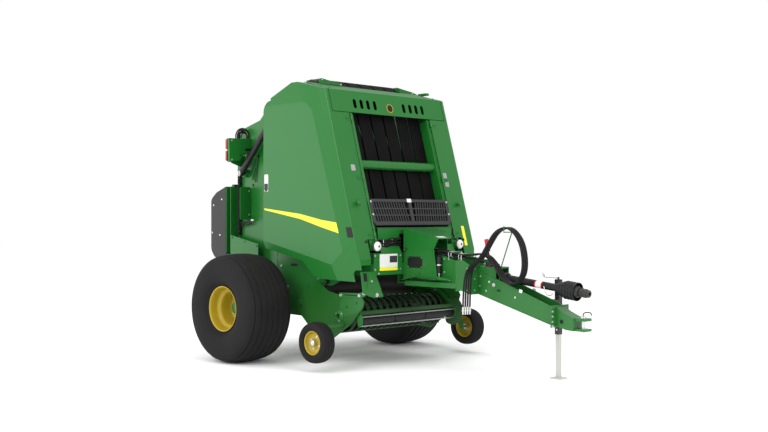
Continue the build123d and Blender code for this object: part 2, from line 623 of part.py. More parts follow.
def net_box():
    """Net housing across the back of the gate: uprights, shelf, back and the net roll."""
    upright = block(FRAME_HALF, OUTER_X, GATE_REAR_Y, 730, 1010, 1690)
    upright -= block(FRAME_HALF + 6, OUTER_X + 1, GATE_REAR_Y + 6, 724, 1000, 1700)
    shelf = block(-NET_HALF + 8, NET_HALF - 8, 730, 895, 1040, 1050)
    back = block(-FRAME_HALF, FRAME_HALF, GATE_REAR_Y, GATE_REAR_Y + 6, 1010, 1690)
    shelf += block(-FRAME_HALF, FRAME_HALF, GATE_REAR_Y + 6, 730, 1040, 1050)
    end = OUTER_X - 24
    spindle = cross_bar(860, 1330, 20, SHEET_IN, end) + block(end - 6, end, 730, 900, 1300, 1360)
    spindle += block(end - 36, end, 724, 730, 1300, 1360)
    roll = cross_bar(860, 1330, 105, -SHEET_IN, SHEET_IN)
    tab = yz_prism(((700, 1690), (730, 1690), (740, 1702), (728, 1714), (712, 1704)), FRAME_HALF,
                   FRAME_HALF + 8)
    rod = cross_bar(NET_HINGE[0], NET_HINGE[1], 6, -FRAME_HALF - 8, FRAME_HALF + 8)
    return both(upright + spindle + tab) + shelf + back + roll + rod


def net_cover():
    """Dark hinged cover of the net box."""
    outline = make_face(Polyline(*NET_SECTION, close=True))
    rounded = fillet([v for v in outline.vertices() if v.Y > -1 and v.X > 760], 34)
    plane = Plane(origin=(-NET_HALF, 0, 0), x_dir=(0, 1, 0), z_dir=(1, 0, 0))
    hollow = Pos(-NET_WALL * 0.2, 0) * offset(rounded, -NET_WALL)
    mouth = Pos(725, 1343) * Rectangle(50, 670)
    shell = extrude(plane * rounded, 2 * NET_HALF)
    shell -= extrude(plane * Pos(0, 0, NET_WALL) * (hollow + mouth), 2 * (NET_HALF - NET_WALL))
    y, z = NET_HINGE
    lug = yz_prism(((y - 12, z - 8), (y - 12, z + 12), (y + 12, z + 12), (782, 1669), (737, 1688)),
                   FRAME_HALF - 52, FRAME_HALF - 12)
    bore = cross_bar(y, z, 6 + SHAFT_GAP, -FRAME_HALF, FRAME_HALF)
    return shell + both(lug) - bore


def gate_covers():
    """Plates on the gate's sides: a rounded cover plate and a small shelf for the hoses."""
    x0 = FRAME_HALF
    plane = Plane(origin=(x0 + 44, 430, 1515), x_dir=(1, 0, 0), z_dir=(0, -1, 0))
    plate = extrude(plane * RectangleRounded(88, 332, 24), 6)
    foot = block(x0, x0 + 40, 424, 470, 1480, 1486) + block(x0, x0 + 40, 424, 470, 1560, 1566)
    return both(plate + foot)


def gate_harness():
    """Hose bundle down each gate side."""
    x = FRAME_HALF + 20.3
    return both(bar((x, 590, 1861), (x, 590, 1195), 20))


# ---------------------------------------------------------------- cylinders
def strut_barrel(x, low, high, radius, eye, share):
    """Barrel from an eye at low, along share of the way to high."""
    run = Vector(0, high[0] - low[0], high[1] - low[1])
    far = Vector(x, *low) + run * share
    body = bar((x, low[0], low[1]), tuple(far), radius)
    boss = cross_bar(low[0], low[1], eye * 1.9, x - 14, x + 14)
    hollow = bar(tuple(Vector(x, *low) + run * 0.12), tuple(far + run * 0.05), radius * 0.62)
    return body + boss - hollow - cross_bar(low[0], low[1], eye + SHAFT_GAP, x - 40, x + 40)


def strut_rod(x, low, high, radius, eye, share, pin_in):
    """Rod from inside the barrel to its eye at high, with its pin reaching in to pin_in."""
    run = Vector(0, high[0] - low[0], high[1] - low[1])
    near = Vector(x, *low) + run * share
    body = bar(tuple(near), (x, high[0], high[1]), radius)
    boss = cross_bar(high[0], high[1], eye * 1.9, x - 12, x + 12)
    return body + boss + cross_bar(high[0], high[1], eye, pin_in, x + 15)


def gate_barrel(side):
    solid = strut_barrel(CYLINDER_X, RAM_LOW, RAM_TOP, 32, 16, 0.72)
    return solid if side > 0 else mirrored(solid)


def gate_rod(side):
    solid = strut_rod(CYLINDER_X, RAM_LOW, RAM_TOP, 19, 16, 0.3, CYLINDER_X - 23.5)
    return solid if side > 0 else mirrored(solid)


# ---------------------------------------------------------------- side shields
def hinge_rod(z0, z1, radius):
    """Bar on the left shield's hinge line between two heights."""
    low = face_plane(SHIELD_HINGE_X, z0, SHIELD_ROD_OUT)
    high = face_plane(SHIELD_HINGE_X, z1, SHIELD_ROD_OUT)
    return bar(tuple(low.origin), tuple(high.origin), radius)


def shield_form(t):
    """Solid form of the left shield; with a thickness t, the hollow inside it."""
    rear = 0 if t else -50
    front = t * 1.04
    rear_top = 2474 - (rear + 50) * 0.395 - t * 1.08
    low = 500 if t else 0
    lower = ((face_y(1000) + front, 1000), (face_y(1000) + front, low)) if t else (
        (face_y(1000), 1000), (-1336, 828), (-1300, 797), (-760, 815), (-705, 845), (-600, 972))
    foot = ((rear, low),) if t else ((rear, 1078),)
    outline = (foot + ((rear, rear_top), (-470, 2640 - t * 1.08), (-560, 2640 - t),
               (face_y(2554) + front, 2554 - t * 1.08)) + lower)
    form = yz_prism(outline, 300, SHIELD_X - t)
    # front bevel, a wedge outside the plane through the fold and the rear of the bevel
    depth = SHIELD_BEVEL * math.hypot(1, FACE_SLOPE)
    out = SHIELD_X - SHIELD_FOLD_X
    sweep = Plane(origin=(0, face_y(400), 400), x_dir=(1, 0, 0), z_dir=(0, FACE_SLOPE, 1))
    inward = t * 1.13
    wedge = make_face(Polyline((SHIELD_FOLD_X - inward - 2 * out, -2 * depth),
                               (SHIELD_X - inward + 2 * out, 2 * depth),
                               (SHIELD_X + 400, -2 * depth), close=True))
    form -= extrude(sweep * wedge, 2600)
    # lower bevels, below creases on the flat side given as (y, z) and their fall
    for y, z, fall in ((-77, 1146, 0.2064), (-1127, 1029, -0.786)):
        crease = Plane(origin=(0, y, z), x_dir=(1, 0, 0), z_dir=(0, 1, fall))
        under = make_face(Polyline((SHIELD_X - inward, 0), (SHIELD_X + 300, 0), (SHIELD_X + 300, 900),
                                   (SHIELD_X - inward - 315, 900), close=True))
        form -= extrude(crease * under, 2600, both=True)
    return form


def side_shield(side):
    """Hollow pressed shield: flat side, front strip, front and lower bevels, open at the rear."""
    shell = shield_form(0) - shield_form(SHIELD_T)
    shell -= block(0, SHIELD_EDGE_X, -1500, 100, 400, 2700)
    shell -= block(0, SHIELD_TOP_X, -875, 100, 400, 2700)
    shell -= block(0, SHIELD_TOP_X, -1500, 100, 400, 1178)
    shell -= block(0, SHIELD_FOLD_X, -1500, -1250, 400, 905)
    corner = Pos(-50 - ROUND, 2474 + 0.395 * 50 - ROUND) * (Rectangle(4 * ROUND, 4 * ROUND, align=Align.MIN) -
                                                           Circle(ROUND))
    shell -= extrude(Plane(origin=(0, 0, 0), x_dir=(0, 1, 0), z_dir=(1, 0, 0)) * corner, 1000)
    above = Pos(0, 250) * Rectangle(2 * SHIELD_FOLD_X, 500)
    shell -= extrude(face_plane(0, HOOD_SEAM_Z - 6, 0) * above, 400, both=True)
    for z in KNUCKLES:
        shell += hinge_rod(z, z + 40, 11)
        leaf = face_plane(0, z, 0) * Pos(SHIELD_HINGE_X + 10, slope_length(0, 20)) * Rectangle(20, 41)
        shell += extrude(leaf, -SHIELD_T)
    shell -= hinge_rod(KNUCKLES[0] - 60, KNUCKLES[-1] + 80, SHIELD_ROD_R + SHAFT_GAP)
    return shell if side > 0 else mirrored(shell)


# ---------------------------------------------------------------- pickup
PANEL = (
    (-340, 640), (-660, 770), (-790, 695), (-956, 663), (-1240, 668), (-1277, 614), (-1259, 565),
    (-1109, 410), (-874, 263), (-600, 280), (-420, 430), (-340, 500),
)


def pickup_frame():
    """End panels, cross tube, gauge wheel arms and stripper bands."""
    panel = yz_prism(PANEL, PICKUP_X, PICKUP_X + PICKUP_SHEET)
    for y, z, r in ((PICKUP_PIVOT_Y, PICKUP_PIVOT_Z, PICKUP_PIN_R), (REEL_Y, REEL_Z, REEL_SHAFT_R),
                    (WIND_PIVOT[0], WIND_PIVOT[1], 10)):
        panel -= cross_bar(y, z, r + SHAFT_GAP, PICKUP_X - 1, PICKUP_X + 30)
    lug = cross_bar(LIFT_LOW[0], LIFT_LOW[1], 22, LIFT_X + 16, PICKUP_X)
    arm_x = GAUGE_X - GAUGE_WIDTH / 2 - 20
    arm = cross_bar(-1000, 400, 22, PICKUP_X + PICKUP_SHEET, arm_x)
    arm += yz_prism(((-1026, 424), (-974, 424), (GAUGE_Y + 26, GAUGE_Z - 22), (GAUGE_Y - 22, GAUGE_Z - 22),
                     (GAUGE_Y - 26, GAUGE_Z + 10)), arm_x, arm_x + 12)
    spindle = cross_bar(GAUGE_Y, GAUGE_Z, GAUGE_SPINDLE_R, arm_x, GAUGE_X + 32)
    solid = both(panel + lug + arm + spindle)
    solid += cross_bar(-700, 560, 40, -PICKUP_X, PICKUP_X)
    solid += block(-PICKUP_X, PICKUP_X, -765, -735, 570, 600)
    solid += block(-PICKUP_X, PICKUP_X, -880, -850, 302, 312)
    return solid


def reel_bands():
    """Curved stripper bands round the reel, standing on the two pickup rails."""
    def side_line(extra):
        arc = []
        for k in range(13):
            turn = math.radians(90 + 15 * k)
            reach = BAND_R + extra
            arc.append((REEL_Y + reach * math.cos(turn), REEL_Z + reach * math.sin(turn)))
        return [(-735, 604 + extra), (-765, 604 + extra)] + arc + [(-880, REEL_Z - BAND_R - extra - 8)]
    outline = side_line(0) + side_line(-BAND_T)[::-1]
    half = PICKUP_X - 60
    pitch = 2 * half / (BAND_COUNT - 1)
    pieces = []
    for n in range(BAND_COUNT):
        x = -half + n * pitch
        pieces.append(yz_prism(outline, x - 22, x + 22))
    return Compound(children=pieces)


def pickup_reel():
    """Reel shaft with discs, tine bars and tines."""
    half = PICKUP_X - 12
    solid = cross_bar(REEL_Y, REEL_Z, 30, -half, half)
    solid += cross_bar(REEL_Y, REEL_Z, REEL_SHAFT_R, -PICKUP_X - 4, PICKUP_X + 4)
    for x in (-half + 8, 0, half - 8):
        solid += cross_bar(REEL_Y, REEL_Z, 128, x - 4, x + 4)
    pitch = 2 * (PICKUP_X - 60) / (BAND_COUNT - 1)
    for k in range(4):
        turn = math.radians(45 + 90 * k)
        c, s = math.cos(turn), math.sin(turn)
        solid += cross_bar(REEL_Y + 112 * c, REEL_Z + 112 * s, 12, -half + 8, half - 8)
        for n in range(BAND_COUNT - 1):
            x = -(PICKUP_X - 60) + (n + 0.5) * pitch
            tine = Plane(origin=(x, REEL_Y, REEL_Z), x_dir=(1, 0, 0), z_dir=(0, c, s))
            solid += extrude(tine * Pos(0, 0, 112) * Rectangle(8, 8), REEL_TIP_R - 112)
    return solid


WIND_PIVOT = (-900.0, 648.0)
WIND_ROLLER = (-1195.0, 441.0)    # y, z
WIND_ROLLER_R = 34.0


def windguard():
    """Roller in three lengths on its arms, a rod above and below it, and the beam over them."""
    x = PICKUP_X - 24
    y, z = WIND_ROLLER
    arm = yz_prism(((-885, 663), (-915, 668), (-1010, 667), (-1150, 575), (-1205, 505), (y - 36, z + 38),
                    (y - 34, z - 30), (y - 6, z - 62), (y + 22, z - 50), (y + 34, z + 10), (-1125, 540),
                    (-1000, 637), (-890, 628)), x, x + 8)
    pin = cross_bar(WIND_PIVOT[0], WIND_PIVOT[1], 10, x, PICKUP_X + 4)
    roller = cross_bar(y, z, WIND_ROLLER_R - 10, -x, x)
    length = (2 * x - 12) / 3
    for n in range(3):
        start = 6 - x + n * length
        roller += cross_bar(y, z, WIND_ROLLER_R, start + 4, start + length - 4)
    rods = cross_bar(y - 28, z + 34, 5, -x, x) + cross_bar(y - 8, z - 50, 6, -x, x)
    beam = yz_prism(((-1140, 566), (-1150, 568), (y - 2, z + 52), (y + 4, z + 44), (y + 10, z + 48)), -x, x)
    return both(arm + pin) + roller + rods + beam


def lift_barrel(side):
    solid = strut_barrel(LIFT_X, LIFT_TOP, LIFT_LOW, 11, 10, 0.62)
    return solid if side > 0 else mirrored(solid)


def lift_rod(side):
    solid = strut_rod(LIFT_X, LIFT_TOP, LIFT_LOW, 6, 8, 0.3, LIFT_X - 12)
    return solid if side > 0 else mirrored(solid)


# ---------------------------------------------------------------- hoses
# control points of the first hose, and how each next hose differs: x, y, z, x step, y step
HOSE_ROUTE = (
    (-100, -1610, 1090, -22, 0),
    (-101, -1722, 1086, -22, 0),
    (-100, -1900, 1053, -22, 0),
    (-101, -2075, 1040, -22, 0),
    (-100, -2246, 1070, -22, 0),
    (-99, -2370, 974, -22, 0),
    (-100, -2450, 846, -22, 0),
    (-101, -2570, 800, -22, 0),
    (-101, -2668, 880, -22, 0),
    (-100, -2684, 1024, -22, 0),
    (-100, -2640, 1192, -22, 0),
    (-102, -2520, 1302, -22, 0),
    (-112, -2392, 1262, -22, 0),
    (-148, -2330, 1138, -22, 0),
    (-193, -2292, 1026, -22, 0),
    (-222, -2196, 962, -22, 0),
    (-238, -2168, 838, -22, 7),
    (-240, -2165, 604, -22, 7),
)


def hose_points(k):
    """Route of one hose."""
    return [(x + k * dx, y + k * dy, z) for x, y, z, dx, dy in HOSE_ROUTE]


def corner_radii(points):
    """Largest fair arc at each corner: 0.45 of the shorter run over the tangent of half the turn."""
    radii = []
    for a, b, c in zip(points, points[1:], points[2:]):
        first, second = Vector(*b) - Vector(*a), Vector(*c) - Vector(*b)
        turn = math.radians(first.get_angle(second))
        radii.append(0.45 * min(first.length, second.length) / math.tan(turn / 2))
    return radii


def hose(k):
    points = hose_points(k)
    radii = corner_radii(points)
    path = FilletPolyline(*points, radius=radii)
    tube = sweep(Plane(origin=path @ 0, z_dir=path % 0) * Circle(HOSE_R), path=path)
    smallest = min(radii)
    ratio = tube.volume / (math.pi * HOSE_R ** 2 * path.length)
    print(f"hose {k + 1}: length {path.length:.0f}, smallest arc {smallest:.0f}, volume ratio {ratio:.4f}")
    return tube


def coupler(k):
    """Plug at the free end of a hose."""
    before, end = [Vector(*p) for p in hose_points(k)[-2:]]
    way = (end - before).normalized()
    base = end + way * 0.3
    sleeve = bar(tuple(base), tuple(base + way * 38), 11)
    tip = bar(tuple(base + way * 38), tuple(base + way * 66), 8)
    return sleeve + tip


def hose_bulkhead():
    """Bracket under the gearbox cover that the hoses start from."""
    low = -100 - HOSE_STEP * (HOSE_COUNT - 1) - 18
    plate = block(low, -82, BULKHEAD_Y + 0.3, BULKHEAD_Y + 6.3, 1070, 1160)
    roof = 1267 + (BULKHEAD_Y - BEAM_Y) * (1267 - 1182) / (1772 + BEAM_Y)
    hanger = block(-150, -110, BULKHEAD_Y + 0.3, BULKHEAD_Y + 6.3, 1160, roof + 3)
    return plate + hanger


def hose_rack():
    """Rod that holds the hose loop up, clipped inside the near tongue plate."""
    x = -82.0 + 5.0
    rod = bar((x, -2352, 792), (x, -2372, 930), 5) + bar((x, -2372, 930), (x, -2496, 1250), 5)
    rod += Pos(x, -2372, 930) * Sphere(5)
    cross = bar((x, -2496, 1250), (x - 112, -2496, 1250), 4)
    tip = bar((x - 108, -2496, 1247), (x - 108, -2496, 1304), 4)
    return rod + cross + tip


def valve_lever():
    """Shut-off valve on the tongue's bridge, with its lever."""
    body = block(-78, -38, -2262, -2206, 948.2, 990)
    stem = bar((-58, -2232, 985), (-58, -2222, 1086), 6)
    grip = bar((-58, -2222, 1080), (-58, -2196, 1184), 18)
    return body + stem + grip


# ---------------------------------------------------------------- pieces
def all_nodes():
    nodes = {}
    for side, word in ((1, "left"), (-1, "right")):
        nodes["tyre_" + word] = main_tyre(side)
        nodes["rim_" + word] = main_rim(side)
        nodes["gauge_tyre_" + word] = gauge_tyre(side)
        nodes["gauge_rim_" + word] = gauge_rim(side)
        nodes["side_frame_" + word] = side_frame(side)
        nodes["side_shield_" + word] = side_shield(side)
        nodes["gate_barrel_" + word] = gate_barrel(side)
        nodes["gate_rod_" + word] = gate_rod(side)
        nodes["lift_barrel_" + word] = lift_barrel(side)
        nodes["lift_rod_" + word] = lift_rod(side)
    nodes["axle_beam"] = axle_beam()
    nodes["window_posts"] = window_posts()
    nodes["cross_tubes"] = cross_tubes()
    nodes["front_hood"] = front_hood()
    nodes["grille"] = grille()
    nodes["front_panels"] = front_panels()
    nodes["marker_lamps"] = marker_lamps()
    nodes["gearbox_hood"] = gearbox_hood()
    nodes["gearbox"] = gearbox()
    nodes["tongue"] = tongue()
    nodes["hitch_clevis"] = hitch_clevis()
    nodes["hitch_pin"] = hitch_pin()
    nodes["jack_tube"] = jack_tube()
    nodes["jack_leg"] = jack_leg()
    nodes["pto_guard"] = pto_guard()
    nodes["pto_shaft"] = pto_shaft()
    nodes["front_rollers"] = rollers(FRONT_ROLLERS + DRUMS, SHEET_IN)
    nodes["front_belts"] = belts(FRONT_ROLLERS)
    nodes["gate_rollers"] = rollers(GATE_BELT_ROLLERS + GATE_ROLLERS, SHEET_IN)
    nodes["gate_belts"] = belts(GATE_BELT_ROLLERS)
    nodes["gate_frame"] = gate_frame()
    nodes["lamp_boxes"] = lamp_boxes()
    nodes["tail_lamps"] = tail_lamps()
    nodes["net_box"] = net_box()
    nodes["net_cover"] = net_cover()
    nodes["gate_covers"] = gate_covers()
    nodes["gate_harness"] = gate_harness()
    nodes["pickup_frame"] = pickup_frame()
    nodes["reel_bands"] = reel_bands()
    nodes["pickup_reel"] = pickup_reel()
    nodes["windguard"] = windguard()
    nodes["hose_rack"] = hose_rack()
    nodes["valve_lever"] = valve_lever()
    for k in range(HOSE_COUNT):
        nodes[f"hose_{k + 1}"] = hose(k)
    nodes["couplers"] = Compound(children=[coupler(k) for k in range(HOSE_COUNT)])
    return nodes


def middle(nodes):
    """Middle of the machine in plan, without its free hoses."""
    boxes = [shape.bounding_box() for name, shape in nodes.items() if not name.startswith(("hose", "coup"))]
    mid_x = (min(b.min.X for b in boxes) + max(b.max.X for b in boxes)) / 2
    mid_y = (min(b.min.Y for b in boxes) + max(b.max.Y for b in boxes)) / 2
    return round(mid_x, 3), round(mid_y, 3)


def main():
    os.makedirs("parts", exist_ok=True)
    nodes = all_nodes()
    mid_x, mid_y = middle(nodes)
    for name, shape in nodes.items():
        export_step(Pos(-mid_x, -mid_y, 0) * shape, f"parts/{name}.step")
    print("moved by", -mid_x, -mid_y)


if __name__ == "__main__":
    main()
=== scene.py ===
# %% [markdown]
# # A round baler, finished in Blender
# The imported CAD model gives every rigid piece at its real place. This notebook adds what a CAD
# model leaves out: paint, rubber and plastic, tyre tread, hoses that hang, bolts, edge strips.
# Lengths are metres. The machine's own plan has its origin on the ground under the main axle,
# with X across, -Y towards the tractor and Z up; `at` moves a place from that plan to the model.

# %% Load the frame
import json
import math

import bpy
import numpy as np
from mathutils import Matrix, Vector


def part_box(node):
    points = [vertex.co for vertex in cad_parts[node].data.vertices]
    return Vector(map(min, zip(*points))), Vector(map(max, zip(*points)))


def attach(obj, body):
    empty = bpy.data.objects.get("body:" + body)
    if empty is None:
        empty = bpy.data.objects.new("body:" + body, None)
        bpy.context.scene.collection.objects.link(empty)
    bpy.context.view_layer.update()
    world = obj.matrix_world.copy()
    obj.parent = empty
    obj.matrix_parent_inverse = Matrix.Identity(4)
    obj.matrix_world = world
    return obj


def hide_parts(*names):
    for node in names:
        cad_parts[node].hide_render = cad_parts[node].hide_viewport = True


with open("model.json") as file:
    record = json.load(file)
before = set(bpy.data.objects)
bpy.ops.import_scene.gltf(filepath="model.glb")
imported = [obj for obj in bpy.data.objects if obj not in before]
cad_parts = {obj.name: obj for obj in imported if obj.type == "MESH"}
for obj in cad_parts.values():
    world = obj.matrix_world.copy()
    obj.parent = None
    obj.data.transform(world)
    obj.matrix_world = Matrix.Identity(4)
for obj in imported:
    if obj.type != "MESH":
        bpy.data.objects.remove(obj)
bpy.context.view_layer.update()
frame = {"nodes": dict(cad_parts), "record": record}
nodes = frame["nodes"]
wheel_low, wheel_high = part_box("tyre_left")
AXLE_Y = (wheel_low[1] + wheel_high[1]) / 2
AXLE_Z = (wheel_low[2] + wheel_high[2]) / 2
WHEEL_X_ABS = abs(wheel_low[0] + wheel_high[0]) / 2
print("nodes", len(nodes), "axle at y", round(AXLE_Y, 4))


def at(x, y, z):
    """Place in the model of a point of the machine's plan, both in metres."""
    return (x, y + AXLE_Y, z)


# %% [markdown]
# ## Camera, light and floor
# A catalogue picture: a 50 mm lens at chest height, off the front corner, in a white studio. A
# large soft source stands on the side that shows most, so that the flat side reads lighter than
# the front, and a white floor keeps only a faint shadow under the machine.

# %% Camera
HEADING = 44.74
camera_data = bpy.data.cameras.new("camera")
camera_data.lens = 50.0
camera_data.sensor_width = 36.0
camera_data.clip_end = 100.0
camera = bpy.data.objects.new("camera", camera_data)
camera.location = at(-7.259, -8.193, 1.388)
camera.rotation_euler = (math.radians(90), 0, math.radians(-HEADING))
bpy.context.scene.collection.objects.link(camera)
bpy.context.scene.camera = camera
print("camera at", [round(v, 3) for v in camera.location])

# %% [markdown]
# ## Lights
# Four square soft lamps: the key on the near side, a fill before the front, a low sheen from behind
# and a weak one overhead. A white sky fills what they leave.


# %% Lights
def soft_light(name, place, aim, size, power):
    """Square lamp at place that faces aim."""
    data = bpy.data.lights.new(name, "AREA")
    data.size = size
    data.energy = power
    lamp = bpy.data.objects.new(name, data)
    lamp.location = place
    way = np.array(aim) - np.array(place)
    flat = math.hypot(way[0], way[1])
    lamp.rotation_euler = (math.atan2(flat, -way[2]), 0, math.atan2(way[1], way[0]) - math.pi / 2)
    bpy.context.scene.collection.objects.link(lamp)


soft_light("key", at(-9.0, -1.5, 5.5), at(0, -0.5, 1.2), 5.0, 430)
soft_light("fill", at(-1.5, -10.0, 5.0), at(0, -1.0, 1.0), 5.0, 330)
soft_light("sheen", at(-7.5, 7.5, 2.2), at(-0.8, -0.5, 1.6), 6.0, 170)
soft_light("top", at(0.5, 0.5, 8.0), at(0, 0, 0), 6.0, 120)

world = bpy.data.worlds.new("studio")
bpy.context.scene.world = world
world.use_nodes = True
world.node_tree.nodes["Background"].inputs["Color"].default_value = (1.0, 1.0, 1.0, 1.0)
world.node_tree.nodes["Background"].inputs["Strength"].default_value = 1.0
bpy.context.scene.view_settings.view_transform = "Standard"

# %% [markdown]
# ## Writing shaders as sums
# A material is easier to read as arithmetic than as a web of nodes. `Value` wraps one socket and
# turns +, -, * and / into Math nodes, so `1 - mask` or `dust * 0.4 + speck` builds the graph.


# %% Shader helpers
class Value:
    """One number socket of a material, with arithmetic that adds Math nodes."""

    def __init__(self, maker, socket):
        self.maker = maker
        self.socket = socket

    def math(self, operation, *others):
        return self.maker.node("ShaderNodeMath", {"operation": operation}, (self,) + others)[0]

    def __add__(self, other):
        return self.math("ADD", other)

    def __sub__(self, other):
        return self.math("SUBTRACT", other)

    def __mul__(self, other):
        return self.math("MULTIPLY", other)

    def __truediv__(self, other):
        return self.math("DIVIDE", other)

    def __rsub__(self, other):
        return self.maker.node("ShaderNodeMath", {"operation": "SUBTRACT"}, (other, self))[0]

    __radd__ = __add__
    __rmul__ = __mul__

    def clamp(self):
        return self.math("MINIMUM", 1.0).math("MAXIMUM", 0.0)


class Finish:
    """A material under construction: one Principled shader and what feeds it."""

    def __init__(self, name, colour, roughness, metallic=0.0, coat=0.0):
        self.material = bpy.data.materials.new(name)
        self.material.use_nodes = True
        self.tree = self.material.node_tree
        self.shader = self.tree.nodes["Principled BSDF"]
        self.shader.inputs["Base Color"].default_value = (*colour, 1.0)
        self.shader.inputs["Roughness"].default_value = roughness
        self.shader.inputs["Metallic"].default_value = metallic
        self.shader.inputs["Coat Weight"].default_value = coat
        self.shader.inputs["Coat Roughness"].default_value = 0.12
        self.colour = colour
        self.place = self.node("ShaderNodeTexCoord")["Object"]

    def node(self, kind, settings=None, inputs=()):
        """Add a node, set its settings, then fill its sockets; gives its outputs."""
        new = self.tree.nodes.new(kind)
        for key, value in (settings or {}).items():
            setattr(new, key, value)
        pairs = inputs.items() if isinstance(inputs, dict) else enumerate(inputs)
        for key, value in pairs:
            if isinstance(value, Value):
                self.tree.links.new(value.socket, new.inputs[key])
            elif value is not None:
                new.inputs[key].default_value = value
        return Outputs(self, new)

    def feed(self, socket, value):
        """Link a value to a socket of the shader."""
        self.tree.links.new(value.socket, self.shader.inputs[socket])

    def noise(self, scale, detail=3.0, rough=0.55):
        """Soft noise of about 1/scale metres, 0 to 1."""
        sockets = {"Vector": self.place, "Scale": scale, "Detail": detail, "Roughness": rough}
        return self.node("ShaderNodeTexNoise", None, sockets)["Fac"]

    def blend(self, factor, low, high):
        """Colour from low to high as factor goes from 0 to 1."""
        low = low if isinstance(low, Value) else (*low, 1.0)
        high = high if isinstance(high, Value) else (*high, 1.0)
        mixer = self.node("ShaderNodeMix", {"data_type": "RGBA"}, {0: factor, 6: low, 7: high})
        return Value(self, mixer.new.outputs[2])

    def bump(self, height, strength, distance):
        """Relief of a height value, in metres of distance."""
        sockets = {"Strength": strength, "Distance": distance, "Height": height}
        self.feed("Normal", self.node("ShaderNodeBump", None, sockets)["Normal"])


class Outputs:
    """A new node's outputs, by name or number, as values."""

    def __init__(self, maker, new):
        self.maker = maker
        self.new = new

    def __getitem__(self, key):
        return Value(self.maker, self.new.outputs[key])


# %% [markdown]
# ## Finishes
# Factory paint is even, so its life comes from small things: a slow drift of tone, dust that
# gathers low down, and an orange-peel skin under a clear coat. Rubber and moulded plastic are
# matte and take a fine grain instead.


# %% Finishes
def paint(name, colour, dust=0.10, rough=0.30, coat=0.0, pressed=None):
    """Sprayed paint: tone drifts with slow noise, dust lies lower down, fine orange peel.

    pressed gives the depth in metres of a shape pressed into the sheet.
    """
    f = Finish(name, colour, rough, 0.0, coat)
    f.shader.inputs["Specular IOR Level"].default_value = 0.36
    drift = f.noise(1.3, 2.0)
    fine = f.noise(60.0, 4.0)
    height = f.node("ShaderNodeSeparateXYZ", None, (f.place,))["Z"]
    low = (1 - height * 0.9).clamp()
    veil = (low * drift * dust * 2.2 + fine * dust * 0.15).clamp()
    darker = tuple(c * 0.90 for c in colour)
    tone = f.blend(drift, darker, colour)
    f.feed("Base Color", f.blend(veil, tone, (0.32, 0.30, 0.24)))
    f.feed("Roughness", (veil * 0.5 + fine * 0.08 + rough).clamp())
    peel = {"Strength": 0.06, "Distance": 0.0006, "Height": f.noise(220.0, 2.0)}
    if pressed:
        sheet = {"Strength": 1.0, "Distance": 1.0, "Height": pressed(f)}
        peel["Normal"] = f.node("ShaderNodeBump", None, sheet)["Normal"]
    f.feed("Normal", f.node("ShaderNodeBump", None, peel)["Normal"])
    return f.material


PRESS_CORNER = 0.12             # radius of the panel's round corner
PRESS_FALL = 0.16               # fall of the border for each metre outside the panel
PRESS_TOP = 2.445               # height of the panel's top line
PRESS_AHEAD, PRESS_HIGH = 0.756, 2.386      # a place on its front line: ahead of the axle, height
PRESS_WAY = (-0.952, 0.306)     # way that the front line faces, as (y, z)
FLAT_SIDE_X = 0.80              # the flat side lies further out than this


def shield_press(f):
    """Height of the shield's flat panel: its border falls away, more with the distance outside.

    Distance outside is the length of (above the top line, ahead of the front line), each from the
    corner's radius inside its line, less that radius, so that the panel's corner is round.
    """
    parts = f.node("ShaderNodeSeparateXYZ", None, (f.place,))
    y, z = parts["Y"] - AXLE_Y, parts["Z"]
    above = (z - PRESS_TOP + PRESS_CORNER).math("MAXIMUM", 0.0)
    past_line = (y + PRESS_AHEAD) * PRESS_WAY[0] + (z - PRESS_HIGH) * PRESS_WAY[1]
    ahead = (past_line + PRESS_CORNER).math("MAXIMUM", 0.0)
    outside = ((above * above + ahead * ahead).math("SQRT") - PRESS_CORNER).math("MAXIMUM", 0.0)
    flat_side = parts["X"].math("ABSOLUTE").math("GREATER_THAN", FLAT_SIDE_X)
    return outside * flat_side * -PRESS_FALL


def rubber(name, colour, rough=0.75, grain=260.0, depth=0.0008, gloss=0.2):
    """Rubber: matte, with a fine grain and greyer where it is scuffed."""
    f = Finish(name, colour, rough)
    f.shader.inputs["Specular IOR Level"].default_value = gloss
    scuff = f.noise(5.0, 5.0)
    grey = tuple(c * 1.8 + 0.002 for c in colour)
    f.feed("Base Color", f.blend((scuff * 1.6 - 0.45).clamp(), colour, grey))
    f.feed("Roughness", (scuff * 0.2 + rough - 0.1).clamp())
    f.bump(f.noise(grain, 3.0), 0.35, depth)
    return f.material


def moulded(name, colour, rough=0.5, grain=420.0):
    """Moulded plastic: even colour with a fine leather-like grain."""
    f = Finish(name, colour, rough)
    f.shader.inputs["Specular IOR Level"].default_value = 0.3
    cells = f.node("ShaderNodeTexVoronoi", None, {"Vector": f.place, "Scale": grain})["Distance"]
    drift = f.noise(3.0)
    f.feed("Base Color", f.blend(drift, tuple(c * 0.85 for c in colour), tuple(c * 1.1 for c in colour)))
    f.feed("Roughness", (cells * 0.2 + rough - 0.05).clamp())
    f.bump(cells, 0.12, 0.0005)
    return f.material


def metal(name, colour, rough=0.35, spots=0.15):
    """Bare or plated metal with brushed streaks and dull spots."""
    f = Finish(name, colour, rough, 1.0)
    stretch = {"Vector": f.place, "Scale": (40.0, 40.0, 400.0)}
    brushed = f.node("ShaderNodeMapping", None, stretch)["Vector"]
    streak = f.node("ShaderNodeTexNoise", None, {"Vector": brushed, "Scale": 1.0})["Fac"]
    dull = f.noise(25.0, 4.0)
    f.feed("Base Color", f.blend(dull, tuple(c * (1 - spots) for c in colour), colour))
    f.feed("Roughness", (streak * 0.15 + dull * spots + rough - 0.1).clamp())
    return f.material


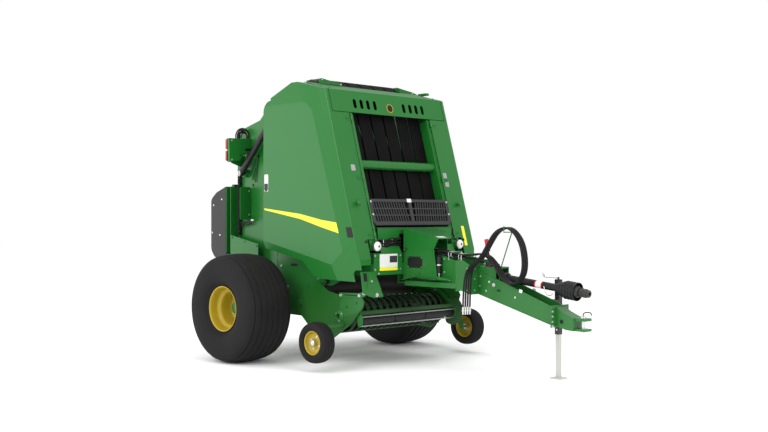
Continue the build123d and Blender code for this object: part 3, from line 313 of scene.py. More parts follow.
GREEN = (0.0075, 0.134, 0.016)
finishes = {
    "green": paint("green_paint", GREEN, dust=0.05),
    "shield": paint("shield_paint", GREEN, dust=0.03, pressed=shield_press),
    "roof": paint("roof_paint", GREEN, dust=0.03, rough=0.55),
    # the next three greens are darker copies of the one green paint: painted shade for the pickup frame, for its
    # bands and for parts that stand in shadow
    "pickup_green": paint("pickup_paint_painted_shade", (0.0035, 0.100, 0.007), dust=0.07),
    "band_green": paint("band_paint_painted_shade", (0.0018, 0.030, 0.004), dust=0.02, rough=0.6),
    "dark_green": paint("green_paint_painted_shade", (0.0035, 0.072, 0.009), dust=0.12, rough=0.45),
    "yellow": paint("wheel_yellow_paint", (0.40, 0.285, 0.006), dust=0.06),
    "stripe": paint("stripe_yellow", (0.80, 0.74, 0.035), dust=0.0, rough=0.35),
    "tyre": rubber("tyre_rubber", (0.0075, 0.0068, 0.0070), gloss=0.17),
    "belt": rubber("belt_rubber", (0.0035, 0.0035, 0.0035), 0.65, 180.0, 0.0015, 0.05),
    "hose": rubber("hose_rubber", (0.0045, 0.0045, 0.0045), 0.45, 500.0, 0.0004),
    "roller": paint("roller_paint", (0.006, 0.0065, 0.0065), dust=0.10, rough=0.5),
    "dark_plastic": moulded("dark_plastic", (0.032, 0.032, 0.034)),
    "black_plastic": moulded("black_plastic", (0.005, 0.005, 0.0055), 0.42),
    "dark_steel": paint("black_enamel", (0.007, 0.007, 0.007), dust=0.06, rough=0.35, coat=0.1),
    "grey_metal": metal("grey_metal", (0.45, 0.46, 0.46), 0.4),
    "steel": metal("zinc_plate", (0.72, 0.72, 0.70), 0.32),
    "chrome": metal("rod_chrome", (0.80, 0.80, 0.82), 0.15, 0.05),
    "red_lens": moulded("red_lens", (0.45, 0.045, 0.03), 0.18),
    "red_grip": moulded("red_grip", (0.55, 0.016, 0.022), 0.35),
    "white_plate": paint("white_plate", (0.72, 0.72, 0.70), dust=0.0, rough=0.4),
    "leg_paint": paint("jack_leg_paint", (0.53, 0.52, 0.495), dust=0.1, rough=0.45),
}
# CAD pieces whose finish differs from their slot's usual one; the pickup frame and reel bands take darker greens that
# are painted shade
OWN_FINISH = {"side_shield_left": "shield", "side_shield_right": "shield", "front_hood": "roof",
              "jack_leg": "leg_paint", "valve_lever": "red_grip", "pickup_frame": "pickup_green",
              "reel_bands": "band_green"}

# %% [markdown]
# ## Finish of the CAD pieces
# The record gives each piece of the CAD a material slot, and a slot's finish has the slot's name. A
# few pieces want a finish of their own.

# %% Give each carried-over piece its finish
slots = {row["node"]: row["material_slot"] for row in frame["record"]["subparts"]}
for name, piece in nodes.items():
    piece.data.materials.clear()
    piece.data.materials.append(finishes[OWN_FINISH.get(name, slots[name])])
print("finished", len(slots), "CAD pieces")

# %% [markdown]
# ## Making surfaces with numpy
# A shape here is a pair: an array of corners and a list of faces that name them. `weave` turns a
# grid of points into four-sided faces, `lathe` turns an outline about an axle, `rod` carries a
# circle along a path and `plate` gives an outline a thickness. Whole arrays are worked out at
# once, and `join` puts shapes together before they become one object.


# %% Shape helpers
def weave(points, close_rows=False, close_columns=False):
    """Faces between neighbours of a (rows, columns, 3) grid, joined end to start where asked."""
    rows, columns = points.shape[:2]
    number = np.arange(rows * columns).reshape(rows, columns)
    if close_rows:
        number = np.vstack([number, number[:1]])
    if close_columns:
        number = np.hstack([number, number[:, :1]])
    quads = np.stack([number[:-1, :-1], number[1:, :-1], number[1:, 1:], number[:-1, 1:]], axis=-1)
    return points.reshape(-1, 3), quads.reshape(-1, 4).tolist()


def join(*shapes):
    """One shape from several."""
    corners, faces, start = [], [], 0
    for points, polygons in shapes:
        corners.append(np.asarray(points, float))
        faces += [[i + start for i in polygon] for polygon in polygons]
        start += len(points)
    return np.vstack(corners), faces


def cut_corners(points, times=2, closed=True):
    """Round a line by cutting its corners: each run keeps its points at 1/4 and 3/4."""
    line = np.asarray(points, float)
    for _ in range(times):
        after = np.roll(line, -1, axis=0)
        pairs = np.stack([0.75 * line + 0.25 * after, 0.25 * line + 0.75 * after], axis=1)
        if closed:
            line = pairs.reshape(-1, line.shape[1])
        else:
            line = np.vstack([line[:1], pairs[:-1].reshape(-1, line.shape[1]), line[-1:]])
    return line


def resample(points, count):
    """Points at even steps along a line."""
    line = np.asarray(points, float)
    far = np.concatenate([[0], np.cumsum(np.linalg.norm(np.diff(line, axis=0), axis=1))])
    steps = np.linspace(0, far[-1], count)
    return np.column_stack([np.interp(steps, far, line[:, k]) for k in range(line.shape[1])])


def spin(outline, start, way, steps=64):
    """Turn (offset along the axle, radius) rows, a closed outline, about the line start + way."""
    rows = np.asarray(outline, float)
    way = np.array(way, float) / np.linalg.norm(way)
    across = np.cross(way, (0, 0, 1.0)) if abs(way[2]) < 0.9 else np.cross(way, (1.0, 0, 0))
    across /= np.linalg.norm(across)
    up = np.cross(way, across)
    turn = np.linspace(0, 2 * np.pi, steps, endpoint=False)[None, :, None]
    reach = np.cos(turn) * across + np.sin(turn) * up
    points = np.array(start) + rows[:, :1, None] * way + rows[:, 1:, None] * reach
    area = np.sum(rows[:, 0] * np.roll(rows[:, 1], -1) - np.roll(rows[:, 0], -1) * rows[:, 1])
    return weave(points[::-1] if area < 0 else points, True, True)


def lathe(outline, centre, steps=64, side=1):
    """Turn a closed outline about the cross-wise axle through centre; side -1 faces it right."""
    return spin(outline, centre, (side, 0, 0), steps)


def rod(path, radius, sides=12):
    """Circle of a radius, one number or one for each point, carried along a path, ends closed."""
    line = np.asarray(path, float)
    way = np.gradient(line, axis=0)
    way /= np.linalg.norm(way, axis=1)[:, None]
    spare = np.array([1.0, 0, 0]) if abs(np.mean(way[:, 0])) < 0.7 else np.array([0, 0, 1.0])
    across = np.cross(way, spare)
    across /= np.linalg.norm(across, axis=1)[:, None]
    up = np.cross(way, across)
    turn = np.linspace(0, 2 * np.pi, sides, endpoint=False)[None, :, None]
    reach = np.broadcast_to(np.asarray(radius, float), (len(line),))[:, None, None]
    ring = line[:, None] + reach * (np.cos(turn) * across[:, None] + np.sin(turn) * up[:, None])
    corners, faces = weave(ring, False, True)
    faces = [face[::-1] for face in faces]
    last = len(corners) - sides
    return corners, faces + [list(range(sides)), list(range(last, last + sides))[::-1]]


def plate(outline, origin, along, up, depth):
    """Outline of (along, up) points given a depth on the side that along x up points to."""
    flat = np.asarray(outline, float)
    along, up = np.array(along, float), np.array(up, float)
    out = np.cross(along, up)
    face = np.array(origin) + flat[:, :1] * along + flat[:, 1:] * up
    count = len(flat)
    area = np.sum(flat[:, 0] * np.roll(flat[:, 1], -1) - np.roll(flat[:, 0], -1) * flat[:, 1])
    if area < 0:
        face = face[::-1]
    both = np.stack([face, face + out * depth])
    corners, sides = weave(both, False, True)
    sides = [s[::-1] for s in sides]
    caps = [list(range(count))[::-1], list(range(count, 2 * count))]
    return corners, sides + caps


def slab(low, high):
    """Rectangular plate between two corners."""
    (x0, y0, z0), (x1, y1, z1) = low, high
    outline = ((x0, z0), (x1, z0), (x1, z1), (x0, z1))
    return plate(outline, (0, y1, 0), (1, 0, 0), (0, 0, 1), y1 - y0)


WASHER_HEIGHT, WASHER_SHARE, HEAD_START = 0.0025, 1.5, 0.002


def bolts(places, way, radius, height):
    """Six-sided bolt heads on round washers, all facing one way."""
    way = np.array(way, float) / np.linalg.norm(way)
    shapes = []
    for place in places:
        start = np.array(place, float)
        shapes.append(rod([start, start + way * WASHER_HEIGHT], radius * WASHER_SHARE, 16))
        shapes.append(rod([start + way * HEAD_START, start + way * (HEAD_START + height)], radius, 6))
    return join(*shapes)


SHARP_DEGREES, BEVEL_DEGREES = 35, 30


def add(name, shape, finish, body, bevel=0.0, replaces=""):
    """Make a shape an object of the machine: its finish, what it rides on, what it stands for."""
    corners, faces = shape
    mesh = bpy.data.meshes.new(name)
    mesh.from_pydata((np.asarray(corners) + (0, AXLE_Y, 0)).tolist(), [], faces)
    mesh.materials.append(finishes[finish])
    mesh.validate()
    piece = bpy.data.objects.new(name, mesh)
    bpy.context.scene.collection.objects.link(piece)
    if bevel:
        edge = piece.modifiers.new("edge", "BEVEL")
        edge.width = bevel
        edge.segments = 2
        edge.limit_method = "ANGLE"
        edge.angle_limit = math.radians(BEVEL_DEGREES)
    mesh.polygons.foreach_set("use_smooth", [True] * len(mesh.polygons))
    mesh.set_sharp_from_angle(angle=math.radians(SHARP_DEGREES))
    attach(piece, body)
    if replaces:
        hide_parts(replaces)
    return piece


# the sloping front passes through this y and z, and goes back by SLOPE for each metre up
FACE_Y, FACE_Z, SLOPE = -0.975, 2.32, 0.284
FACE_UP = np.array([0, SLOPE, 1.0]) / math.hypot(1, SLOPE)
FACE_OUT = np.array([0, -1.0, SLOPE]) / math.hypot(1, SLOPE)
FRONT, UP, NEAR = (0, -1, 0), (0, 0, 1), (-1, 0, 0)
SIDES = ((1, "left"), (-1, "right"))


def lean(z):
    """Y of the machine's sloping front at height z."""
    return FACE_Y + SLOPE * (z - FACE_Z)


def on_face(x, z, out=0.0):
    """Point on the sloping front, out metres proud of it."""
    return np.array([x, lean(z), z]) + out * FACE_OUT


def on_side(side, outline, x, depth):
    """Plate of (y, z) points lying on the flat side at x, standing out by depth."""
    rows = np.asarray(outline, float) * (side, 1)
    return plate(rows, (side * x, 0, 0), (0, side, 0), (0, 0, 1), depth)


def on_front(outline, y, depth):
    """Plate of (x, z) points lying on an upright front at y, standing out by depth."""
    return plate(outline, (0, y, 0), (1, 0, 0), (0, 0, 1), depth)


def along_x(outline, x0, x1):
    """Outline of (y, z) points carried across the machine from x0 to x1."""
    return plate(outline, (x0, 0, 0), (0, 1, 0), (0, 0, 1), x1 - x0)


def on_slope(outline, depth, out=0.0):
    """Plate of (x, z) points lying on the sloping front, standing out by depth."""
    rows = np.asarray(outline, float)
    low = rows[0, 1]
    rows = np.column_stack([rows[:, 0], (rows[:, 1] - low) * math.hypot(1, SLOPE)])
    return plate(rows, on_face(0, low, out), (1, 0, 0), FACE_UP, depth)


def box_outline(u0, v0, u1, v1, corner=0.0, steps=4):
    """Rectangle of two coordinates, its corners rounded by an arc where corner is given."""
    if not corner:
        return [(u0, v0), (u1, v0), (u1, v1), (u0, v1)]
    turn = np.linspace(0, np.pi / 2, steps)
    arc = np.column_stack([np.cos(turn), np.sin(turn)]) * corner
    centres = ((u1 - corner, v1 - corner), (u0 + corner, v1 - corner), (u0 + corner, v0 + corner),
               (u1 - corner, v0 + corner))
    turned = [arc, arc[:, ::-1] * (-1, 1), arc * (-1, -1), arc[:, ::-1] * (1, -1)]
    return np.vstack([np.array(c) + a for c, a in zip(centres, turned)])


# %% [markdown]
# ## Pieces in pairs
# Most hardware comes twice, mirrored about the machine's middle plane. `pair` takes a function of
# the side and adds `name_left` and `name_right`; the others read rows of a short table.


# %% Helpers for pairs
def grid(first, second):
    """Every pair of a value from first and a value from second."""
    return [(u, v) for u in first for v in second]


def circle(y, z, radius, turns):
    """(y, z) places on a circle at the angles given."""
    return [(y + radius * math.cos(t), z + radius * math.sin(t)) for t in turns]


def flip(points, side):
    """Points given for the left side, moved to the side asked for."""
    return np.asarray(points, float) * (side, 1, 1)


def bent(points, radius, sides=8, times=2):
    """Rod along an open line whose corners are rounded."""
    return rod(cut_corners(points, times, False), radius, sides)


def outward_of(line):
    """Unit normals on the left of a (y, z) line's direction."""
    way = np.gradient(line, axis=0)
    way /= np.linalg.norm(way, axis=1)[:, None]
    return np.column_stack([-way[:, 1], way[:, 0]])


def pair(name, make, finish, body, bevel=0.0, replaces=""):
    """Add what make(side) gives for each side; {} in body or replaces stands for the side's word."""
    for side, word in SIDES:
        add(f"{name}_{word}", make(side), finish, body.format(word), bevel, replaces.format(word))


def side_turned(name, outline, place, steps, finish, body, **more):
    """Outline turned about the cross-wise axle at place, on both sides."""
    pair(name, lambda side: lathe(outline, flip(place, side), steps, side), finish, body, **more)


def side_plates(body, rows):
    """Plates on both sides. Each row is name, finish, x, depth, bevel, (y, z) outline."""
    for name, finish, x, depth, bevel, outline in rows:
        pair(name, lambda side: on_side(side, outline, x, depth), finish, body, bevel=bevel)


def front_plates(body, rows):
    """Mirrored plates on an upright front. Each row is name, finish, y, depth, bevel, (x, z) outline."""
    for name, finish, y, depth, bevel, outline in rows:
        pair(name, lambda side: on_front(np.array(outline) * (side, 1), y, depth), finish, body, bevel=bevel)


def side_bolts(body, rows):
    """Bolts facing out on both sides. Each row is name, finish, x, radius, height, (y, z) places."""
    for name, finish, x, radius, height, places in rows:
        pair(name, lambda side: bolts([(side * x, y, z) for y, z in places], (side, 0, 0), radius, height),
             finish, body)


def bolt_rows(body, rows):
    """Bolts that face one way. Each row is name, finish, way, radius, height, places."""
    for name, finish, way, radius, height, places in rows:
        add(name, bolts(places, way, radius, height), finish, body)


# %% [markdown]
# ## Hoses
# Four hydraulic hoses come from under the gearbox cover, run along the tongue, rise through a
# loop that a rod holds up, and come back to hang beside the tongue's root with their couplers
# down. Each is one smooth NURBS line with a round bevel; the next hose is the same line moved
# over by a step, so they lie side by side.

# %% Hoses
HOSE_DIAMETER = 0.016
HOSE_STEP = -0.022
# control points of the first hose, with how far the next hose's point is moved along y
HOSE_ROUTE = (
    (-0.100, -1.610, 1.090, 0), (-0.101, -1.722, 1.086, 0), (-0.100, -1.900, 1.053, 0),
    (-0.101, -2.075, 1.040, 0), (-0.100, -2.246, 1.070, 0), (-0.099, -2.370, 0.974, 0),
    (-0.100, -2.450, 0.846, 0), (-0.101, -2.570, 0.800, 0), (-0.101, -2.668, 0.880, 0),
    (-0.100, -2.684, 1.024, 0), (-0.100, -2.640, 1.192, 0), (-0.102, -2.520, 1.302, 0),
    (-0.112, -2.392, 1.262, 0), (-0.148, -2.330, 1.138, 0), (-0.193, -2.292, 1.026, 0),
    (-0.222, -2.196, 0.962, 0), (-0.238, -2.168, 0.838, 0.007), (-0.240, -2.165, 0.604, 0.007),
)
HOSE_LENGTHS = (2.507, 2.510, 2.512, 2.514)
# coupler as (distance, radius): crimped ferrule, hexagon, sleeve with a collar, and the nipple
COUPLER = np.array(((0.0003, 0.0095), (0.012, 0.0105), (0.0125, 0.0088), (0.024, 0.0088), (0.0245, 0.0108),
                    (0.036, 0.0108), (0.0365, 0.0092), (0.042, 0.0092), (0.0425, 0.0076), (0.064, 0.0076),
                    (0.066, 0.006)))
RELIEF = np.array(((0, 0.004, 0), (0, -0.03, -0.001), (0, -0.034, -0.0011), (0, -0.05, -0.002)))


def hose_line(k):
    """Control points of hose k in the model."""
    return [at(x + k * HOSE_STEP, y + k * dy, z) for x, y, z, dy in HOSE_ROUTE]


for k, length in enumerate(HOSE_LENGTHS):
    line = hose_line(k)
    curve = bpy.data.curves.new(f"hose_line_{k + 1}", "CURVE")
    curve.dimensions = "3D"
    curve.bevel_depth = HOSE_DIAMETER / 2
    curve.bevel_resolution = 5
    curve.resolution_u = 12
    curve.use_fill_caps = True
    spline = curve.splines.new("NURBS")
    spline.points.add(len(line) - 1)
    spline.points.foreach_set("co", np.array([(*p, 1.0) for p in line]).ravel())
    spline.order_u = 3
    spline.use_endpoint_u = True
    curve.materials.append(finishes["hose"])
    hose = bpy.data.objects.new(f"hydraulic_hose_{k + 1}", curve)
    bpy.context.scene.collection.objects.link(hose)
    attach(hose, "frame")
    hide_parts(f"hose_{k + 1}")
    end, before = np.array(HOSE_ROUTE[-1]), np.array(HOSE_ROUTE[-2])
    tip = end[:3] + k * np.array([HOSE_STEP, end[3], 0])
    way = (end[:3] - before[:3]) / np.linalg.norm(end[:3] - before[:3])
    coupler = add(f"hose_coupler_{k + 1}", rod(tip + COUPLER[:, :1] * way, COUPLER[:, 1], 20), "steel", "frame",
                  replaces="couplers")
    start = np.array(HOSE_ROUTE[0][:3]) + k * np.array([HOSE_STEP, 0, 0])
    relief = add(f"hose_ferrule_{k + 1}", rod(start + RELIEF, [0.0115, 0.0110, 0.0098, 0.0092], 20), "steel",
                 "frame")
print("hoses", len(HOSE_LENGTHS), "lengths", HOSE_LENGTHS)

# %% [markdown]
# ## Main wheels
# A wide low-pressure implement tyre: round shoulders, five grooves that run right round the
# tread, and a sidewall that tucks in to the rim. It is an outline turned about the axle. The
# outline's corners are cut until it is smooth, then the grooves are taken off its radius.

# %% Main tyres and rims
HALF_TYRE = 0.255
TYRE_LINE = (
    (-0.74, 0.205), (-0.77, 0.214), (-0.80, 0.226), (-0.90, 0.252), (-0.985, 0.300), (-1.0, 0.350),
    (-0.992, 0.400), (-0.965, 0.444), (-0.91, 0.474), (-0.80, 0.494), (-0.60, 0.505), (-0.30, 0.513),
    (0.0, 0.5152), (0.30, 0.513), (0.60, 0.505), (0.80, 0.494), (0.91, 0.474), (0.965, 0.444),
    (0.992, 0.400), (1.0, 0.350), (0.985, 0.300), (0.90, 0.252), (0.80, 0.226), (0.77, 0.214), (0.74, 0.205),
    (0.66, 0.206), (0.74, 0.250), (0.86, 0.300), (0.92, 0.350), (0.90, 0.420), (0.80, 0.462), (0.50, 0.484),
    (0.0, 0.490), (-0.50, 0.484), (-0.80, 0.462), (-0.90, 0.420), (-0.92, 0.350), (-0.86, 0.300),
    (-0.74, 0.250), (-0.66, 0.206),
)
GROOVES = (-0.76, -0.50, -0.24, 0.02, 0.28, 0.54, 0.78)


def grooved(line, half, grooves, width, depth, above):
    """Tyre outline from a line of (share of the half width, radius).

    Its corners are cut, four points follow for each one, and each groove takes depth times a bell
    of a width round its place off a radius that is above a limit.
    """
    smooth = cut_corners(np.array(line) * (half, 1), 2)
    loop = np.vstack([smooth, smooth[:1]])
    step = np.linspace(0, len(smooth), 4 * len(smooth), endpoint=False)
    dense = np.column_stack([np.interp(step, np.arange(len(loop)), loop[:, i]) for i in (0, 1)])
    bell = np.exp(-(((dense[:, :1] - np.array(grooves)) / width) ** 4)).max(axis=1)
    dense[:, 1] -= depth * bell * (dense[:, 1] > above)
    return dense


tread = grooved(TYRE_LINE, HALF_TYRE, np.array(GROOVES) * HALF_TYRE, 0.022 * HALF_TYRE, 0.011, 0.488)
bead = np.exp(-(((tread[:, 1] - 0.262) / 0.004) ** 2)) * 0.003
tread[:, 0] += np.sign(tread[:, 0]) * bead * (np.abs(tread[:, 0]) > 0.2)
# rim outline: offset outward along the axle, radius
RIM_LINE = (
    (0.206, 0.2150), (0.211, 0.2120), (0.208, 0.2040), (0.196, 0.1985), (0.150, 0.1930), (0.128, 0.1880),
    (0.120, 0.1760), (0.116, 0.1640), (0.106, 0.1560), (0.050, 0.1520), (0.010, 0.1480), (-0.006, 0.1400),
    (-0.012, 0.1250), (-0.010, 0.1000), (-0.016, 0.0900), (-0.018, 0.0600), (-0.026, 0.0600),
    (-0.024, 0.0900), (-0.018, 0.1050), (-0.020, 0.1300), (-0.016, 0.1560), (0.040, 0.1600), (0.098, 0.1650),
    (0.106, 0.1820), (0.110, 0.1960), (0.0, 0.1930), (-0.110, 0.1960), (-0.196, 0.1985), (-0.208, 0.2040),
    (-0.211, 0.2120), (-0.206, 0.2150), (-0.200, 0.2110), (-0.190, 0.2047), (-0.110, 0.2040),
    (0.0, 0.2010), (0.110, 0.2040), (0.190, 0.2047), (0.200, 0.2110),
)
rim = cut_corners(RIM_LINE, 1)
hub = ((-0.062, 0.0321), (-0.062, 0.062), (-0.030, 0.0700), (-0.016, 0.0720), (0.012, 0.0700), (0.018, 0.0640),
       (0.040, 0.0600), (0.046, 0.0560), (0.060, 0.0540), (0.066, 0.0480), (0.070, 0.0300), (0.072, 0.0005),
       (0.058, 0.0005), (0.050, 0.0321))
WHEEL_BODY = "wheel_{}"
WHEEL = (WHEEL_X_ABS, 0, AXLE_Z)
VALVE_TURN = 3.6
side_turned("main_tyre", tread, WHEEL, 128, "tyre", WHEEL_BODY, replaces="tyre_{}")
side_turned("main_rim", rim, WHEEL, 96, "yellow", WHEEL_BODY, replaces="rim_{}")
side_turned("main_hub", hub, WHEEL, 48, "green", WHEEL_BODY)
side_bolts(WHEEL_BODY, (
    ("wheel_nuts", "steel", WHEEL_X_ABS - 0.010, 0.013, 0.016,
     circle(0, AXLE_Z, 0.105, np.arange(8) * np.pi / 4 + 0.2)),
))
valve = [(WHEEL_X_ABS + x, *circle(0, AXLE_Z, 0.172, (VALVE_TURN,))[0]) for x in (0.112, 0.150, 0.152, 0.164)]
pair("tyre_valve", lambda side: rod(flip(valve, side), [0.006, 0.005, 0.0065, 0.006], 12), "black_plastic",
     WHEEL_BODY)
print("tyre outline points", len(tread))

# %% [markdown]
# ## Gauge wheels
# The pickup's two small wheels: a ribbed tyre on a two-piece rim, with a bright dust cap.

# %% Gauge wheels
GAUGE = (1.020, -1.048, 0.264)
GAUGE_LINE = (
    (-0.57, 0.102), (-0.60, 0.108), (-0.80, 0.114), (-0.96, 0.130), (-1.0, 0.145), (-0.96, 0.160), (-0.82, 0.174),
    (-0.5, 0.181), (0, 0.1841), (0.5, 0.181), (0.82, 0.174), (0.96, 0.160), (1.0, 0.145), (0.96, 0.130),
    (0.80, 0.114), (0.60, 0.108), (0.57, 0.102), (0.50, 0.103), (0.80, 0.130), (0.86, 0.150), (0.50, 0.170),
    (-0.50, 0.170), (-0.86, 0.150), (-0.80, 0.130), (-0.50, 0.103),
)
gauge = grooved(GAUGE_LINE, 0.075, (-0.044, -0.015, 0.015, 0.044), 0.003, 0.005, 0.172)
GAUGE_RIM = (
    (0.0525, 0.1080), (0.0545, 0.1060), (0.0520, 0.1000), (0.0440, 0.0960), (0.0300, 0.0930), (0.0200, 0.0860),
    (0.0130, 0.0700), (0.0120, 0.0500), (0.0150, 0.0400), (0.0140, 0.0240), (0.0060, 0.0240), (0.0050, 0.0600),
    (0.0120, 0.0880), (0.0, 0.0925), (-0.0440, 0.0960), (-0.0520, 0.1000), (-0.0545, 0.1060),
    (-0.0525, 0.1080), (-0.0490, 0.1018), (0.0, 0.0980), (0.0490, 0.1018),
)
cap = ((-0.038, 0.0121), (-0.038, 0.024), (0.014, 0.026), (0.030, 0.027), (0.036, 0.030), (0.040, 0.029),
       (0.054, 0.026), (0.062, 0.016), (0.064, 0.0005), (0.036, 0.0005), (0.034, 0.0121))
GAUGE_BODY = "gauge_wheel_{}"
side_turned("gauge_tyre_skin", gauge, GAUGE, 96, "tyre", GAUGE_BODY, replaces="gauge_tyre_{}")
side_turned("gauge_rim_skin", cut_corners(GAUGE_RIM, 1), GAUGE, 72, "yellow", GAUGE_BODY, replaces="gauge_rim_{}")
side_turned("gauge_hub", cap, GAUGE, 40, "steel", GAUGE_BODY)
side_bolts(GAUGE_BODY, (
    ("gauge_nuts", "steel", GAUGE[0] + 0.013, 0.007, 0.007,
     circle(GAUGE[1], GAUGE[2], 0.06, np.arange(4) * np.pi / 2 + 0.4)),
))

# %% [markdown]
# ## Shields, stripe and plates
# The shields are pressed sheets, and most of what the eye reads on them is small: a bright wedge
# of film that widens towards the front, blank rivet-on plates, the knob of each latch and the
# leaves of the hinges. Each is a thin plate laid on the face it belongs to.

# %% Shield details
SHIELD_X = 0.830
SHIELD_BODY = "shield_{}"
STRIPE = ((-0.065, 1.462), (-0.595, 1.4075), (-0.904, 1.3515), (-1.0965, 1.330), (-1.130, 1.2335),
          (-0.904, 1.2835), (-0.595, 1.361), (-0.068, 1.446))
KNOB = ((0.0, 0.0003), (0.0, 0.010), (0.018, 0.010), (0.022, 0.021), (0.034, 0.0235), (0.042, 0.020),
        (0.045, 0.010), (0.045, 0.0003))
PLUG = ((0.0, 0.0003), (0.0, 0.014), (0.004, 0.014), (0.007, 0.009), (0.007, 0.0003))
HINGE_LEAVES = (1.200, 1.720, 2.270)


def latch(side):
    """Backing leaf on the front strip, with a stem and a ball-ended knob."""
    place = on_face(side * 0.682, 1.499)
    leaf = on_slope(box_outline(place[0] - 0.022, 1.474, place[0] + 0.022, 1.524, 0.010), 0.004)
    return join(leaf, spin(KNOB, place + 0.003 * FACE_OUT, FACE_OUT, 24))


def leaves(side):
    """Leaves of the shield's three hinges."""
    return join(*[on_slope(box_outline(side * 0.585 - 0.030, z, side * 0.585 + 0.030, z + 0.040, 0.006), 0.003)
                  for z in HINGE_LEAVES])


def leaf_screws(side):
    """Two screws in each hinge leaf."""
    spots = [on_face(side * x, z + 0.020, 0.003) for z in HINGE_LEAVES for x in (0.575, 0.602)]
    return bolts(spots, FACE_OUT, 0.0055, 0.004)


side_plates(SHIELD_BODY, (
    ("shield_stripe", "stripe", SHIELD_X, 0.0012, 0, STRIPE),
    ("shield_plate", "white_plate", SHIELD_X, 0.0015, 0.0005, box_outline(-0.124, 1.622, -0.066, 1.788, 0.010)),
    ("shield_plate_foot", "dark_plastic", SHIELD_X + 0.0015, 0.0008, 0,
     box_outline(-0.121, 1.625, -0.069, 1.700, 0.006)),
))
side_bolts(SHIELD_BODY, (
    ("shield_plate_rivets", "steel", SHIELD_X + 0.0015, 0.003, 0.0015, grid((-0.116, -0.074), (1.632, 1.778))),
))
pair("shield_latch", latch, "green", SHIELD_BODY, bevel=0.001)
pair("shield_leaves", leaves, "green", SHIELD_BODY, bevel=0.0008)
pair("shield_screws", leaf_screws, "green", SHIELD_BODY)
pair("shield_plug", lambda side: spin(PLUG, on_face(side * 0.661, 1.157), FACE_OUT, 24), "black_plastic",
     SHIELD_BODY)
add("front_strip_left", on_slope(box_outline(0.668, 1.100, 0.708, 1.290), 0.0012), "stripe", "shield_left")
# dark plate on the slanting fold beside the front
fold_across = np.array([0.034, -0.054, 0]) / math.hypot(0.034, 0.054)
fold_plate = plate(box_outline(-0.027, -0.048, 0.027, 0.048, 0.005), (-0.813, lean(1.243) + 0.027, 1.243),
                   fold_across, FACE_UP, 0.002)
add("bevel_plate_right", fold_plate, "black_plastic", "shield_right", bevel=0.0006)
add("shield_lug_left", slab((0.770, -0.700, 2.628), (0.822, -0.585, 2.652)), "green", "shield_left", bevel=0.004)
add("shield_lug_bolt_left", bolts([(0.796, -0.690, 2.652)], UP, 0.009, 0.008), "steel", "shield_left")
print("shield details on both sides")

# %% [markdown]
# ## Hood, badge and belt crown
# The band over the window carries two groups of vents and, between them, a round badge, here left
# as a plain dark disc in a bright rim. Angle brackets hold the roller at the top, where the belts
# come up through the roof.

# %% Hood details
badge = on_face(0.0, 2.420)
badge_rim = ((0.0, 0.036), (0.0, 0.044), (0.004, 0.043), (0.005, 0.040), (0.004, 0.037), (0.002, 0.0355))
badge_disc = ((0.0, 0.0003), (0.0, 0.037), (0.003, 0.037), (0.0045, 0.020), (0.005, 0.0003))
add("badge_rim", spin(badge_rim, badge, FACE_OUT, 48), "yellow", "frame")
add("badge_disc", spin(badge_disc, badge, FACE_OUT, 48), "black_plastic", "frame")
CHEEK = ((-0.574, 2.640), (-0.574, 2.690), (-0.520, 2.702), (-0.330, 2.700), (-0.330, 2.640))
# side, its word, outline of the bracket's front leaf, the leaf's y, its bolts, post plates as x, low, high
CROWN = (
    (1, "left", ((0.500, 2.640), (0.500, 2.700), (0.742, 2.668), (0.800, 2.652), (0.800, 2.640)), -0.540,
     ((0.730, 2.656),), ((0.596, 1.676, 1.732), (0.589, 1.756, 1.812))),
    (-1, "right", ((-0.600, 2.640), (-0.318, 2.640), (-0.322, 2.662), (-0.500, 2.682), (-0.572, 2.694),
                   (-0.600, 2.688)), -0.606,
     ((-0.332, 2.652), (-0.572, 2.680)), ((-0.640, 1.800, 1.856),)),
)
for side, word, crest, front, heads, marks in CROWN:
    bracket = join(on_front(crest, front, 0.006), on_side(side, CHEEK, 0.520, 0.006))
    add("crown_bracket_" + word, bracket, "green", "frame", bevel=0.0015)
    add("crown_bolts_" + word, bolts([(x, front - 0.006, z) for x, z in heads], FRONT, 0.0055, 0.004), "steel",
        "frame")
    for n, (x, low, high) in enumerate(marks):
        blank = on_slope(box_outline(x - 0.026, low, x + 0.026, high, 0.006), 0.0015)
        add(f"post_plate_{word}_{n + 1}", blank, "grey_metal", "shield_" + word)
pair("roof_screws", lambda side: bolts(flip(((0.700, -0.860, 2.572), (0.700, -0.590, 2.6381)), side),
                                       (0, -0.24, 0.97), 0.007, 0.005), "green", "frame")
print("hood details")

# %% [markdown]
# ## Grille
# A ribbed plastic guard closes the foot of the window. Its openings are too many to cut, so it is
# woven instead: a rim, a middle bar, level ribs, and one thin raked blade between each pair of
# slots. The eye then looks past the blades to the belts, as it does on the real guard.

# %% Grille
GRILLE_LOW, GRILLE_HIGH, GRILLE_HALF = 1.302, 1.542, 0.530
BLADES = 14


def on_grille(rows, out, depth):
    """Plate of (x, distance up the slope) points, out metres proud of the front."""
    return plate(rows, on_face(0, GRILLE_LOW, out), (1, 0, 0), FACE_UP, depth)


def ring_plate(outer, inner, out, depth):
    """Frame between two outlines with the same number of points: front, walls and back."""
    slope_axes = np.stack([(1.0, 0, 0), FACE_UP])
    rings = [on_face(0, GRILLE_LOW, out + extra) + np.array(line) @ slope_axes
             for line, extra in ((outer, 0), (outer, depth), (inner, depth), (inner, 0))]
    return weave(np.stack(rings)[::-1], True, True)


